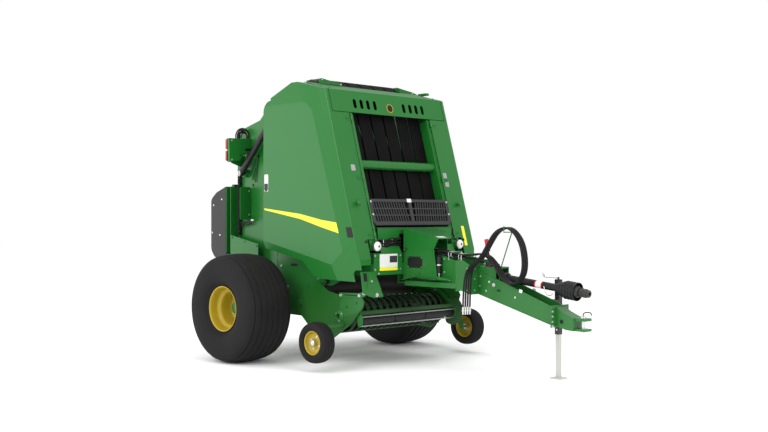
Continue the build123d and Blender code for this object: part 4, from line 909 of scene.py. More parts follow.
rise = (GRILLE_HIGH - GRILLE_LOW) * math.hypot(1, SLOPE)
g = GRILLE_HALF
outer = ((0.034 - g, 0), (g - 0.034, 0), (g, 0.034), (g, rise - 0.030), (g - 0.030, rise), (0.030 - g, rise),
         (-g, rise - 0.030), (-g, 0.034))
inner = ((0.052 - g, 0.036), (g - 0.052, 0.036), (g - 0.036, 0.052), (g - 0.036, rise - 0.046),
         (g - 0.046, rise - 0.026), (0.046 - g, rise - 0.026), (0.036 - g, rise - 0.046), (0.036 - g, 0.052))
parts = [ring_plate(outer, inner, -0.0117, 0.022),
         on_grille(box_outline(-0.020, 0.030, 0.020, rise - 0.020), -0.0100, 0.0190)]
for height in (0.096, 0.160):
    parts.append(on_grille(box_outline(0.030 - g, height - 0.0055, g - 0.030, height + 0.0055), -0.0100, 0.0180))
for side in (1, -1):
    for n in range(BLADES):
        x = side * (0.052 + n * (g - 0.098) / (BLADES - 1))
        top = x + side * 0.030
        blade = ((x - 0.006, 0.030), (x + 0.006, 0.030), (top + 0.006, rise - 0.022), (top - 0.006, rise - 0.022))
        parts.append(on_grille(blade, -0.0090, 0.0150))
add("grille_guard", join(*parts), "dark_plastic", "frame", replaces="grille")
spots = [on_face(x, z, 0.0105) for x, z in grid((-0.514, 0.514), (1.519, 1.401))]
add("grille_bolts", bolts(spots, FACE_OUT, 0.007, 0.005), "steel", "frame")
add("grille_tab", on_slope(box_outline(-0.037, 1.513, 0.021, 1.547, 0.004), 0.003, 0.0105), "white_plate",
    "frame", bevel=0.0008)
print("grille blades", 2 * BLADES)

# %% [markdown]
# ## Under the window
# A skirt hangs from the sill, steel pipes run across behind it to the gearbox cover, and a round
# lamp stands on each side. The lamp is a white lens in a black bezel.

# %% Sill, pipes and marker lamps
LAMP_LEAD = ((0.545, -1.330, 1.150), (0.520, -1.322, 1.175), (0.475, -1.306, 1.170), (0.430, -1.300, 1.150))
# name, finish, steps round, node it stands for, outline as (forward, radius)
LAMP_PARTS = (
    ("marker_bezel", "grey_metal", 40, "marker_lamps",
     ((0.003, 0.0420), (0.003, 0.0448), (-0.018, 0.0440), (-0.024, 0.0400), (-0.026, 0.0200), (-0.026, 0.0003),
      (-0.022, 0.0003), (-0.002, 0.0410))),
    ("marker_lens", "white_plate", 40, "",
     ((0.0, 0.0003), (0.0, 0.0418), (0.004, 0.0420), (0.013, 0.0370), (0.019, 0.0260), (0.022, 0.0120),
      (0.0225, 0.0003))),
    ("marker_dot", "black_plastic", 20, "",
     ((0.018, 0.0003), (0.018, 0.0100), (0.0245, 0.0095), (0.0255, 0.0060), (0.0255, 0.0003))),
)


def skirt(side):
    """Sheet under the sill, with its folded lip."""
    low, high = sorted((side * 0.222, side * 0.498))
    sheet = on_front(box_outline(low, 1.172, high, 1.282), -1.2895, 0.003)
    return join(sheet, slab((low, -1.302, 1.279), (high, -1.2895, 1.283)))


pair("sill_skirt", skirt, "green", "frame", bevel=0.001)
for name, finish, steps, node, outline in LAMP_PARTS:
    pair(name, lambda side: spin(outline, (side * 0.560, -1.348, 1.115), FRONT, steps), finish, "frame",
         replaces=node)
pair("marker_lead", lambda side: bent(flip(LAMP_LEAD, side), 0.005), "black_plastic", "frame")
pipes = []
for n, (z, radius) in enumerate(((1.150, 0.011), (1.128, 0.009), (1.168, 0.008), (1.112, 0.008), (1.140, 0.007))):
    y = -1.302 - 0.006 * (n % 2)
    pipes.append(bent([(-0.498, y + 0.01, z - 0.022), (-0.430, y, z - 0.014), (-0.350, y, z + 0.010),
                       (-0.290, y, z + 0.012), (-0.222, y - 0.004, z + 0.030 - 0.008 * n)], radius, 10))
add("cross_pipes", join(*pipes), "hose", "frame")
add("pipe_clips", join(*[rod([(x, -1.305, 1.118), (x, -1.305, 1.172)], 0.004, 6) for x in (-0.440, -0.330)]),
    "steel", "frame")
print("pipes", len(pipes))

# %% [markdown]
# ## Panels and gearbox cover
# Below the lamps the front is a set of bolted plates. Screws show at their corners, and there are
# two rivet-on plates, left blank. Beside the gearbox cover stands the small black oil can of the
# chain lubricator.

# %% Front panels
for name, finish, y, depth, corners in (
        ("front_plate", "white_plate", -1.346, 0.0015, (-0.528, 0.925, -0.301, 1.044, 0.006)),
        ("front_plate_band", "stripe", -1.346, 0.0015, (-0.528, 0.894, -0.301, 0.924, 0.004)),
        ("front_plate_patch", "dark_plastic", -1.3475, 0.0010, (-0.402, 0.965, -0.306, 1.026, 0.004))):
    add(name, on_front(box_outline(*corners), y, depth), finish, "frame")
add("cover_plate", on_side(-1, box_outline(-1.577, 0.916, -1.394, 1.018, 0.006), 0.215, 0.0015),
    "black_plastic", "frame")
# blank plate on the sloping roof of the cover, near its prow
cover_up = np.array([0, 0.4320, 0.0850]) / math.hypot(0.4320, 0.0850)
add("cover_label", plate(box_outline(-0.170, 0.0, -0.070, 0.050), (0, -1.745, 1.1937), (1.0, 0, 0), cover_up, 0.0012),
    "white_plate", "frame")
bolt_rows("frame", (
    ("cover_plate_rivets", "steel", NEAR, 0.003, 0.0015,
     [(-0.2165, y, z) for y, z in grid((-1.568, -1.403), (0.925, 1.009))]),
    ("cover_screws", "green", NEAR, 0.006, 0.004,
     [(-0.2155, y, z) for y, z in ((-1.365, 1.225), (-1.365, 0.850), (-1.500, 1.215), (-1.640, 1.195),
                                   (-1.540, 0.866), (-1.705, 0.880), (-1.700, 1.080))]),
    ("panel_bolts", "steel", FRONT, 0.007, 0.005,
     [(side * x, -1.3465, z) for side in (1, -1) for x, z in (
         (0.585, 1.030), (0.585, 0.905), (0.262, 1.030), (0.262, 0.905), (0.540, 0.870), (0.540, 0.740))]),
    ("corner_bolts", "steel", FRONT, 0.012, 0.010,
     [(side * x, -1.3545, z) for side in (1, -1) for x, z in ((0.646, 0.807), (0.573, 0.680))]),
))
# black plate of painted shade for the opening, and a folded clip, on each corner bracket
front_plates("frame", (
    ("corner_hole", "black_plastic", -1.3542, 0.0008, 0,
     ((0.742, 0.880), (0.700, 0.880), (0.690, 0.806), (0.732, 0.806))),
    ("corner_clip", "green", -1.3542, 0.006, 0.002,
     ((0.668, 0.875), (0.622, 0.875), (0.610, 0.770), (0.700, 0.735))),
))


def can_turned(heights, radii, sides):
    """Upright turned piece on the oil can's line."""
    return rod([(-0.180, -1.750, z) for z in heights], radii, sides)


add("oil_can", can_turned((0.875, 0.880, 1.014, 1.024, 1.030, 1.036), (0.020, 0.024, 0.024, 0.020, 0.010, 0.009), 24),
    "black_plastic", "frame")
strap = spin(((-0.006, 0.0240), (-0.006, 0.0255), (0.006, 0.0255), (0.006, 0.0240)), (-0.180, -1.750, 0.950),
             UP, 28)
add("oil_can_fitting", join(can_turned((0.876, 0.858, 0.857, 0.836), (0.010, 0.010, 0.007, 0.006), 12), strap,
                            slab((-0.180, -1.752, 0.944), (-0.158, -1.748, 0.956))), "steel", "frame")
print("front panel details")

# %% [markdown]
# ## Pickup and windguard
# The pickup is the part that shows a maker's skill: rows of spring tines comb between curved
# bands, and a windguard holds the crop down in front of them. The windguard's roller comes in
# three lengths, with a bright rod above and below it; each length is an outline turned about the
# same line, so that the gaps between them stay even.

# %% Windguard
WIND_Y, WIND_Z, WIND_HALF = -1.195, 0.441, 0.626
WIND_BODY = "windguard_body"
length = (2 * WIND_HALF - 0.012) / 3
a, b = 0.004, length - 0.004
outline = ((a, 0.0235), (a, 0.030), (a + 0.004, 0.0335), (a + 0.010, 0.034), (b - 0.010, 0.034),
           (b - 0.004, 0.0335), (b, 0.030), (b, 0.0235))
rollers = [lathe(outline, (0.006 - WIND_HALF + n * length, WIND_Y, WIND_Z), 36) for n in range(3)]
rollers.append(rod([(-WIND_HALF, WIND_Y, WIND_Z), (WIND_HALF, WIND_Y, WIND_Z)], 0.0232, 24))
add("windguard_rollers", join(*rollers), "black_plastic", WIND_BODY, replaces="windguard")
end_plate = ((-1.080, 0.345), (-1.150, 0.312), (-1.235, 0.322), (-1.300, 0.372), (-1.328, 0.450), (-1.312, 0.525),
             (-1.262, 0.580), (-1.190, 0.588), (-1.120, 0.560))
# the end plate takes the darker green, which is painted shade
add("pickup_end_left", along_x(cut_corners(end_plate, 2), 0.6345, 0.6385), "dark_green", "pickup", bevel=0.001)
bright = [rod([(-WIND_HALF, WIND_Y + dy, WIND_Z + dz), (0, WIND_Y + dy, WIND_Z + dz - 0.001),
               (WIND_HALF, WIND_Y + dy, WIND_Z + dz)], r, 14)
          for dy, dz, r in ((-0.028, 0.034, 0.0056), (-0.008, -0.050, 0.0064))]
add("windguard_rods", join(*bright), "grey_metal", WIND_BODY, replaces="windguard")
# the beam takes the darker green, which is painted shade
beam = ((-1.166, 0.524), (-1.178, 0.522), (-1.199, 0.495), (-1.193, 0.486), (-1.187, 0.490), (-1.190, 0.496))
add("windguard_beam", along_x(beam, -WIND_HALF, WIND_HALF), "dark_green", WIND_BODY, bevel=0.001,
    replaces="windguard")
arm = ((-0.885, 0.663), (-0.915, 0.668), (-1.010, 0.667), (-1.150, 0.575), (-1.205, 0.505), (-1.231, 0.479),
       (-1.229, 0.411), (-1.201, 0.379), (-1.173, 0.391), (-1.161, 0.451), (-1.125, 0.540), (-1.000, 0.637),
       (-0.890, 0.628))
arms, nuts = [], []
for side in (1, -1):
    arms.append(along_x(arm, *sorted((side * 0.626, side * 0.634))))
    arms.append(rod([(side * 0.626, -0.900, 0.648), (side * 0.654, -0.900, 0.648)], 0.010, 16))
    nuts.append(bolts([(side * 0.626, WIND_Y, WIND_Z), (side * 0.626, -0.960, 0.652)], (-side, 0, 0), 0.009, 0.007))
add("windguard_arms", join(*arms), "green", WIND_BODY, bevel=0.0012, replaces="windguard")
add("windguard_nuts", join(*nuts), "steel", WIND_BODY)
print("windguard roller length", round(length, 4))

# %% [markdown]
# ## Pickup hardware
# Round the reel sit the pieces that hold it: the link bar, the bearing's turned flange with its
# screws, the pivot's cover, the rolled edge of the end panel and a spring coil at the root of each
# tine. Flat pieces come from rows of outlines, and turned ones from (distance, radius) outlines.

# %% Pickup details
REEL_Y, REEL_Z = -0.950, 0.470
PICKUP_X = 0.650
SHEET_X = 0.612
LINK = ((-0.950, 0.640), (-1.235, 0.648), (-1.300, 0.672), (-1.310, 0.694), (-1.296, 0.716), (-1.225, 0.694),
        (-0.950, 0.686))
NOSE = ((-0.955, 0.663), (-1.235, 0.668), (-1.262, 0.600), (-1.258, 0.553), (-1.190, 0.513), (-0.955, 0.452))
PANEL_EDGE = ((-1.240, 0.655), (-1.268, 0.614), (-1.252, 0.570), (-1.108, 0.419), (-0.872, 0.271), (-0.602, 0.288),
              (-0.428, 0.434))
FLANGE = ((0.0, 0.024), (0.0, 0.052), (0.005, 0.052), (0.007, 0.049), (0.012, 0.036), (0.018, 0.034),
          (0.021, 0.030), (0.021, 0.024))
PIVOT = ((0.012, 0.031), (0.012, 0.069), (0.015, 0.069), (0.017, 0.060), (0.0155, 0.057), (0.017, 0.054),
         (0.019, 0.042), (0.019, 0.031))
side_plates("pickup", (
    ("link_bar", "green", PICKUP_X + 0.005, 0.008, 0.0015, LINK),
    # the slots are thin black plates: painted shade of openings
    ("link_slot", "black_plastic", PICKUP_X + 0.0132, 0.0006, 0, box_outline(-1.195, 0.665, -1.020, 0.673, 0.004)),
    ("pickup_nose", "green", PICKUP_X + 0.0055, 0.002, 0.0008, cut_corners(NOSE, 1)),
    ("pickup_slot", "black_plastic", PICKUP_X + 0.0002, 0.0012, 0,
     box_outline(-0.843, 0.5865, -0.793, 0.6045, 0.009)),
))
side_turned("reel_bearing", FLANGE, (PICKUP_X + 0.005, REEL_Y, REEL_Z), 40, "green", "pickup")
side_turned("pivot_cover", PIVOT, (SHEET_X, -0.400, 0.570), 48, "green", "frame")
side_bolts("pickup", (
    ("link_bolts", "steel", PICKUP_X + 0.013, 0.010, 0.009, ((-0.975, 0.663), (-1.222, 0.671), (-1.282, 0.694))),
    ("reel_bearing_screws", "steel", PICKUP_X + 0.011, 0.006, 0.005, circle(REEL_Y, REEL_Z, 0.043, (0.5, 2.6, 4.7))),
    ("panel_screws", "green", PICKUP_X + 0.005, 0.007, 0.005,
     ((-0.560, 0.640), (-0.640, 0.560), (-0.760, 0.585), (-0.700, 0.520), (-0.865, 0.325), (-1.050, 0.560),
      (-1.180, 0.600))),
))
# rolled edge of the end panel
pair("panel_rim", lambda side: bent([(side * (PICKUP_X + 0.0045), y, z) for y, z in PANEL_EDGE], 0.005), "green",
     "pickup")
side_plates("frame", (
    # the slot is a thin black plate: painted shade of an opening
    ("sheet_slot", "black_plastic", SHEET_X, 0.0008, 0, box_outline(-0.300, 0.904, -0.200, 0.928, 0.012)),
))
side_bolts("frame", (
    ("pivot_bolts", "steel", SHEET_X + 0.0005, 0.009, 0.008, circle(-0.400, 0.570, 0.100, (0.6, 1.7, 2.9))),
    ("sheet_bolts", "steel", SHEET_X + 0.0005, 0.009, 0.008,
     ((-0.060, 0.660), (-0.060, 0.760), (-0.060, 0.900), (-0.160, 0.700), (-0.520, 0.720), (-0.600, 0.800),
      (-0.680, 0.860))),
))
# coils at the root of each spring tine, wound round the four tine bars
COIL = ((-0.016, 0.0125), (-0.016, 0.0165), (-0.007, 0.0185), (0.007, 0.0185), (0.016, 0.0165), (0.016, 0.0125))
coils = [lathe(COIL, (-0.590 + (n + 0.5) * 1.180 / 14, y, z), 10)
         for y, z in circle(REEL_Y, REEL_Z, 0.112, np.radians((45, 135, 225, 315))) for n in range(14)]
add("tine_coils", join(*coils), "dark_steel", "reel")
# sheet behind the reel, from the lower rail up to the cross tube, in the bands' darker green of painted shade
pan = resample(((-0.850, 0.3035), (-0.790, 0.300), (-0.735, 0.330), (-0.715, 0.400), (-0.705, 0.520)), 14)
back = pan - 0.002 * outward_of(pan)
add("pickup_pan", along_x(np.vstack([pan, back[::-1]]), -0.585, 0.585), "band_green", "pickup")
add("band_screws", bolts([(x, -0.750, 0.608) for x in np.linspace(-0.590, 0.590, 15)], UP, 0.007, 0.005), "steel",
    "pickup")
print("tine coils", len(coils))

# %% [markdown]
# ## Tongue, clevis and jack
# The drawbar is a welded channel, and its joints are bolted through: heads in a row on the
# flange, larger ones where the root is clamped, a slot drawn as a black plate of painted shade, and a
# hook that carries the driveline's chain. The jack's crank is a thin bright rod bent twice.

# %% Tongue details
CHEEK_X = 0.0922
CLEVIS_EYE = ((0.0, 0.0003), (0.0, 0.017), (0.0015, 0.018), (0.002, 0.014), (0.001, 0.0003))
side_bolts("frame", (
    ("tongue_bolts", "steel", CHEEK_X, 0.0062, 0.006,
     ((-2.260, 0.817), (-2.151, 0.777), (-2.225, 0.737), (-2.544, 0.696), (-2.160, 0.861))),
    ("tongue_pin", "steel", CHEEK_X, 0.0115, 0.009, ((-2.309, 0.792),)),
    ("root_bolts", "steel", 0.2002, 0.005, 0.005, ((-2.105, 0.930), (-2.105, 0.740))),
))
side_plates("frame", (
    # the slot is a thin black plate: painted shade of an opening
    ("tongue_slot", "black_plastic", CHEEK_X - 0.0001, 0.0008, 0, box_outline(-2.384, 0.737, -2.344, 0.755, 0.008)),
    ("tongue_tab", "white_plate", CHEEK_X - 0.0001, 0.003, 0,
     ((-2.585, 0.742), (-2.617, 0.736), (-2.622, 0.762), (-2.590, 0.770))),
))
# the clevis hole is a black disc: painted shade inside the hole
side_turned("clevis_hole", CLEVIS_EYE, (0.060, -3.000, 0.520), 24, "black_plastic", "frame")
pair("flange_bolts", lambda side: bolts([(side * 0.106, -2.942, z) for z in (0.602, 0.561, 0.519, 0.482)], FRONT,
                                        0.008, 0.008), "steel", "frame")


def weld(side, high, low, radius):
    """Bead along a tongue plate's edge, which falls from high to low over 0.79 m."""
    return rod([(side * 0.0925, y, high - (high - low) * (-2.140 - y) / 0.790)
                for y in (-2.142, -2.400, -2.660, -2.925)], radius, 6)


pair("tongue_welds", lambda side: join(weld(side, 0.913, 0.634, 0.003), weld(side, 0.707, 0.487, 0.004)), "green",
     "frame")
bolt_rows("frame", (
    ("root_wall_bolts", "steel", (-0.977, 0.214, 0), 0.0062, 0.006,
     [(-0.1638, -1.798, 1.005), (-0.163, -1.800, 0.887), (-0.181, -1.876, 0.813)]),
    ("root_front_bolts", "steel", FRONT, 0.006, 0.006,
     [(x, -2.1405, z) for x, z in grid((-0.150, 0.150), (0.740, 0.840, 0.930))]),
))
add("hitch_pin_handle", bent([(0, -3.170, 0.572), (0, -3.170, 0.592), (0.010, -3.185, 0.604), (0.034, -3.215, 0.604),
                              (0.040, -3.222, 0.590), (0.036, -3.222, 0.578)], 0.0045, 10), "dark_steel", "frame")
collar = ((-0.004, 0.0155), (-0.004, 0.0250), (0.0, 0.0265), (0.004, 0.0250), (0.004, 0.0155))
add("hitch_pin_collar", spin(collar, (0, -3.170, 0.566), UP, 32), "steel", "frame")
# jack: crank, its knob, head cap, locking pin through the tube
crank = [(0.200, -2.780, 0.842), (0.200, -2.780, 0.862), (0.154, -2.670, 0.866), (0.1505, -2.665, 0.872),
         (0.144, -2.658, 0.906)]
add("jack_crank", bent(crank, 0.0066, 12, 1), "steel", "frame")
add("jack_knob", rod([(0.1485, -2.663, 0.884), (0.1480, -2.6625, 0.886), (0.1450, -2.659, 0.902),
                      (0.1445, -2.6585, 0.906)], [0.006, 0.011, 0.011, 0.007], 16), "white_plate", "frame")
cap = ((0.0, 0.0003), (0.0, 0.0345), (0.004, 0.0345), (0.010, 0.030), (0.012, 0.010), (0.012, 0.0003))
add("jack_cap", spin(cap, (0.200, -2.780, 0.838), UP, 32), "dark_steel", "frame")
lock = rod([(0.160, -2.780, 0.620), (0.242, -2.780, 0.620)], 0.007, 12)
rivets = [(0.176, -2.780, z) for z in (0.420, 0.460)]
add("jack_lock_pin", join(lock, bolts(rivets, NEAR, 0.005, 0.003)), "steel", "frame")
# shut-off valve under the red lever: square body, hose nipples, a black stem
add("valve_body", slab((-0.0785, -2.2625, 0.948), (-0.0375, -2.2055, 0.9905)), "dark_steel", "frame", bevel=0.002)
nipples = [rod([(-0.058, y, 0.968), (-0.058, y + dy, 0.968)], 0.011, 12)
           for y, dy in ((-2.262, -0.030), (-2.206, 0.030))]
add("valve_nipples", join(*nipples), "steel", "frame")
add("lever_stem", rod([(-0.058, -2.2322, 0.988), (-0.058, -2.2222, 1.084)], 0.0066, 12), "dark_steel", "frame")
print("tongue and jack details")

# %% [markdown]
# ## Driveline
# A plastic guard covers the turning shaft and ends in a soft ribbed bell; out of the bell comes
# a universal joint and the splined yoke that slides onto the tractor's shaft. Everything is
# turned about one sloping line, so each piece is an outline in (distance, radius).

# %% Driveline
PTO_REAR = np.array([0.0, -1.700, 0.9267])
PTO_FRONT = np.array([0.0, -3.236, 0.754])
PTO_LONG = float(np.linalg.norm(PTO_FRONT - PTO_REAR))
PTO_WAY = (PTO_FRONT - PTO_REAR) / PTO_LONG
JOINT_SHARE = 0.836


def on_shaft(outline, share, steps=40):
    """Outline of (distance, radius) turned about the driveline, from a share of its length."""
    return spin(outline, PTO_REAR + share * (PTO_FRONT - PTO_REAR), PTO_WAY, steps)


def band(start, end):
    """Thin ring of the guard's tube, as (distance, radius)."""
    return ((start, 0.0312), (start, 0.0322), (end, 0.0322), (end, 0.0312))


ribs = np.linspace(0.030, 0.185, 41)
wide = 0.052 + 0.022 * np.clip((ribs - 0.030) / 0.060, 0, 1)
wide += 0.0035 * np.cos((ribs - 0.030) / 0.155 * 2 * np.pi * 5)
bell = np.vstack([[(0.0, 0.034), (0.0, 0.046), (0.020, 0.047)], np.column_stack([ribs, wide]),
                  [(0.199, 0.077), (0.200, 0.073)], np.column_stack([ribs, wide - 0.004])[::-1], [(0.020, 0.034)]])
add("guard_bell", on_shaft(bell, 0.795, 56), "black_plastic", "frame", replaces="pto_guard")
tube = ((0.0, 0.026), (0.0, 0.033), (0.590, 0.033), (0.592, 0.0315), (1.186, 0.0315), (1.186, 0.026))
collar = ((0.0, 0.030), (0.0, 0.044), (0.006, 0.047), (0.030, 0.047), (0.036, 0.044), (0.036, 0.030))
add("guard_tube", join(on_shaft(tube, 0.052), on_shaft(collar, 0.430), on_shaft(collar, 0.055)), "black_plastic",
    "frame", replaces="pto_guard")
add("guard_sleeve", on_shaft(band(0.0, 0.056), 0.655, 36), "white_plate", "frame")
add("guard_band", join(*[on_shaft(band(0.056, 0.066), share, 36) for share in (0.655, 0.612)]), "red_grip", "frame")
joint = ((0.0, 0.0003), (0.0, 0.040), (0.010, 0.052), (0.040, 0.057), (0.052, 0.057), (0.056, 0.044),
         (0.092, 0.044), (0.096, 0.057), (0.120, 0.056), (0.140, 0.046), (0.150, 0.036), (0.150, 0.0003))
yoke = ((0.150, 0.0180), (0.150, 0.036), (0.160, 0.038), (0.182, 0.038), (0.186, 0.033), (0.196, 0.033),
        (0.200, 0.037), (0.222, 0.037), (0.226, 0.031), (0.246, 0.031), (0.250, 0.027), (0.250, 0.0180))
parts = [on_shaft(joint, JOINT_SHARE, 32), on_shaft(yoke, JOINT_SHARE, 48)]
base = PTO_REAR + (JOINT_SHARE * PTO_LONG + 0.074) * PTO_WAY
cross_axes = (np.array([1.0, 0, 0]), np.cross(PTO_WAY, (1.0, 0, 0)))
for across in cross_axes:
    parts.append(rod([base + reach * across for reach in (-0.064, -0.060, 0.060, 0.064)],
                     [0.012, 0.017, 0.017, 0.012], 20))
add("driveline_yoke", join(*parts), "dark_steel", "driveline", replaces="pto_shaft")
core = ((0.0, 0.0003), (0.0, 0.0215), (1.42, 0.0215), (1.42, 0.0003))
add("driveline_core", on_shaft(core, -0.120, 28), "dark_steel", "driveline", replaces="pto_shaft")
splines = []
for t in np.arange(21) * 2 * np.pi / 21:
    tooth = PTO_FRONT + 0.0172 * (math.cos(t) * cross_axes[0] + math.sin(t) * cross_axes[1])
    splines.append(rod([tooth - 0.050 * PTO_WAY, tooth - 0.004 * PTO_WAY], 0.0012, 5))
add("yoke_splines", join(*splines), "steel", "driveline")
add("guard_hook", bent([(-0.034, -2.800, 0.800), (-0.036, -2.812, 0.760), (-0.020, -2.825, 0.722),
                        (0.010, -2.845, 0.725), (0.030, -2.850, 0.740)], 0.0035), "steel", "frame")
print("driveline length", round(PTO_LONG, 3))

# %% [markdown]
# ## Ties and pipes on the tongue
# White ties bind the hoses to the steel pipes along the tongue, and one carries a tag. A tie is a
# thin band that follows a rounded rectangle, worked out as a superellipse.


# %% Hose ties
def hoop(centre, half_x, half_z, radius, power, steps=40, sides=8):
    """Thin round band along a superellipse in the x-z plane about centre: a closed ring."""
    t = np.linspace(0, 2 * np.pi, steps, endpoint=False)
    c, s = np.cos(t), np.sin(t)
    line = np.column_stack([half_x * np.sign(c) * np.abs(c) ** (2 / power), np.zeros(steps),
                            half_z * np.sign(s) * np.abs(s) ** (2 / power)])
    way = np.roll(line, -1, axis=0) - np.roll(line, 1, axis=0)
    way /= np.linalg.norm(way, axis=1)[:, None]
    side = np.cross(way, (0, 1.0, 0))
    turn = np.linspace(0, 2 * np.pi, sides, endpoint=False)[None, :, None]
    ring = line[:, None] + radius * (np.cos(turn) * side[:, None] + np.sin(turn) * np.array([0, 1.6, 0]))
    return weave(np.array(centre) + ring, True, True)


ties = [hoop((-0.1335, y, z), 0.0440, 0.0240, 0.0017, 2.6) for y, z in
        ((-1.860, 1.0480), (-1.890, 1.0450), (-1.980, 1.0340), (-2.010, 1.0320))]
feeds = [bent([(x, -1.560, 1.052), (x, -1.700, 1.060), (x - 0.002, -1.880, 1.034), (x - 0.001, -2.050, 1.018),
               (x + 0.004, -2.140, 1.010), (x + 0.020, -2.200, 0.985)], 0.0085, 10)
         for x in (-0.106, -0.124, -0.143, -0.161)]
add("tongue_pipes", join(*feeds), "hose", "frame")
tag = slab((-0.180, -2.012, 0.985), (-0.172, -2.008, 1.034))
loose = [rod([(-0.177, y, z), (-0.186, y - 0.01, z - 0.028), (-0.184, y - 0.012, z - 0.060)], 0.0014, 6)
         for y, z in ((-1.860, 1.056), (-1.980, 1.042))]
add("hose_ties", join(*ties, tag, *loose), "white_plate", "frame")
clamps = [hoop((-0.1335, y, z), 0.0445, 0.0240, 0.0022, 3.0) for y, z in ((-1.735, 1.0690), (-2.105, 1.0280))]
add("hose_clamps", join(*clamps), "black_plastic", "frame")
print("ties", len(ties) + len(clamps))

# %% [markdown]
# ## Gate side
# Down each side of the gate hang the lamp carrier, a bundle of hoses twisted round each other
# and tied, the foot of the cylinder with its white cap, and a rounded cover plate. The bundle is
# five lines wound on one helix at even steps, then bound with clips.

# %% Gate details
HARNESS_X, HARNESS_Y = 0.6323, 0.590
CLIP = ((-0.004, 0.0185), (-0.004, 0.0200), (0.004, 0.0200), (0.004, 0.0185))
PIN_CAP = ((0.0, 0.0003), (0.0, 0.030), (0.003, 0.031), (0.010, 0.027), (0.024, 0.025), (0.028, 0.020),
           (0.029, 0.0003))


def harness(side):
    """Five hoses on one helix down the gate's side."""
    t = np.linspace(0, 1, 60)
    twists = []
    for k in range(5):
        turn = 2 * np.pi * (k / 5 + 2.2 * t)
        reach = 0.0140 + 0.0008 * np.sin(9 * t + k)
        twists.append(rod(np.column_stack([side * HARNESS_X + reach * np.cos(turn), HARNESS_Y + reach * np.sin(turn),
                                           1.861 - 0.666 * t]), 0.0066, 8))
    return join(*twists)


def gate_cover(side):
    """Wide rounded cover behind the hoses, on two feet."""
    low, high = sorted((side * 0.612, side * 0.752))
    near, far = sorted((side * 0.612, side * 0.652))
    feet = [slab((near, 0.424, z), (far, 0.470, z + 0.006)) for z in (1.480, 1.560)]
    return join(on_front(box_outline(low, 1.349, high, 1.681, 0.026, 6), 0.430, 0.006), *feet)


def carrier_pipes(side):
    """Bent pipes in arches over the lamp carrier."""
    turn = np.linspace(-0.45, np.pi + 0.45, 24)
    arches = []
    for k in range(6):
        r = 0.030 + 0.0085 * k
        arches.append(rod(np.column_stack([side * (0.668 + r * np.cos(turn)),
                                           0.470 + 0.012 * (k % 3) + 0.25 * r * np.cos(turn),
                                           2.192 + r * np.sin(turn) * 1.15]), 0.0065, 8))
    return join(*arches)


def gate_pipes(side):
    """Three pipes that run forward from the bundle to a quick plug."""
    return join(*[bent([(side * 0.640, 0.580, 1.300 + dz), (side * 0.652, 0.520, 1.306 + dz),
                        (side * 0.650, 0.440, 1.322 + dz), (side * 0.646, 0.372, 1.330 + dz)], 0.006)
                  for dz in (0.0, -0.020, 0.016)])


def gate_plug(side):
    """Quick plug at the pipes' end."""
    return rod([(side * 0.646, 0.374, 1.346), (side * 0.646, 0.350, 1.347), (side * 0.646, 0.349, 1.347),
                (side * 0.646, 0.338, 1.348)], [0.010, 0.010, 0.007, 0.006], 16)


def gate_braces(side):
    """Thin braces beside the cylinder."""
    return join(*[rod([(side * 0.622, 0.300, 1.985), (side * 0.624, y, z)], 0.006, 8)
                  for y, z in ((0.389, 1.750), (0.345, 1.730), (0.440, 1.800))])


pair("harness", harness, "hose", "gate", replaces="gate_harness")
pair("harness_bands", lambda side: join(*[spin(CLIP, (side * HARNESS_X, HARNESS_Y, z), UP, 24)
                                          for z in (1.800, 1.650, 1.500, 1.350, 1.230)]), "black_plastic", "gate")
pair("gate_cover", gate_cover, "green", "gate", bevel=0.0015, replaces="gate_covers")
side_turned("cylinder_cap", PIN_CAP, (0.7205, 0.490, 1.820), 32, "white_plate", "gate")
front_plates("gate", (
    # the carrier's slot is a thin black plate: painted shade of an opening
    ("carrier_slot", "black_plastic", 0.412, 0.0008, 0, box_outline(0.615, 2.044, 0.700, 2.068, 0.010)),
))
for name, y, radius, height, places in (
        ("gate_cover_bolts", 0.424, 0.007, 0.005, ((0.640, 1.640), (0.640, 1.400))),
        ("carrier_bolts", 0.412, 0.008, 0.006, ((0.684, 1.9975), (0.860, 2.140), (0.860, 1.950)))):
    pair(name, lambda side: bolts([(side * x, y, z) for x, z in places], FRONT, radius, height), "steel", "gate")
# lens rims and the ribs of each red lens
for side, word in SIDES:
    for n, z in enumerate((1.988, 2.104)):
        low, high = sorted((side * 0.812, side * 0.900))
        add(f"lens_rim_{word}_{n + 1}", slab((low, 0.444, z - 0.052), (high, 0.452, z + 0.052)), "black_plastic",
            "gate", bevel=0.003)
        flutes = [rod([(side * 0.8165, 0.4752, z + dz), (side * 0.8935, 0.4752, z + dz)], 0.0022, 6)
                  for dz in np.linspace(-0.038, 0.038, 9)]
        add(f"lens_flutes_{word}_{n + 1}", join(*flutes), "red_lens", "gate")
pair("carrier_pipes", carrier_pipes, "hose", "gate")
pair("gate_pipes", gate_pipes, "hose", "gate")
pair("gate_plug", gate_plug, "white_plate", "gate")
# the braces take the darker green, which is painted shade
pair("gate_braces", gate_braces, "dark_green", "gate")
side_bolts("gate", (
    ("gate_bolts", "dark_steel", SHEET_X, 0.009, 0.008,
     ((0.300, 1.990), (0.392, 1.700), (0.120, 2.280), (0.220, 2.300), (0.560, 1.880), (0.560, 2.120),
      (0.080, 0.700), (0.080, 1.100))),
    ("skin_bolts", "green", 0.700, 0.007, 0.006,
     ((0.225, 1.090), (0.225, 0.720), (0.420, 1.130), (0.625, 1.170), (0.625, 0.665), (0.320, 0.660))),
))
print("gate details")

# %% [markdown]
# ## Net cover
# The dark cover over the net box is a bent sheet on a hinge rod, and pressed channels keep its
# wide back from drumming. `net_sheet` carries the cover's side line, from the hinge round to the
# bottom lip, across the machine and pushes each point in by a smooth trough that repeats every
# quarter of a metre; the same points 5 mm further in close the sheet. Grab handles, latches and
# bolts follow.

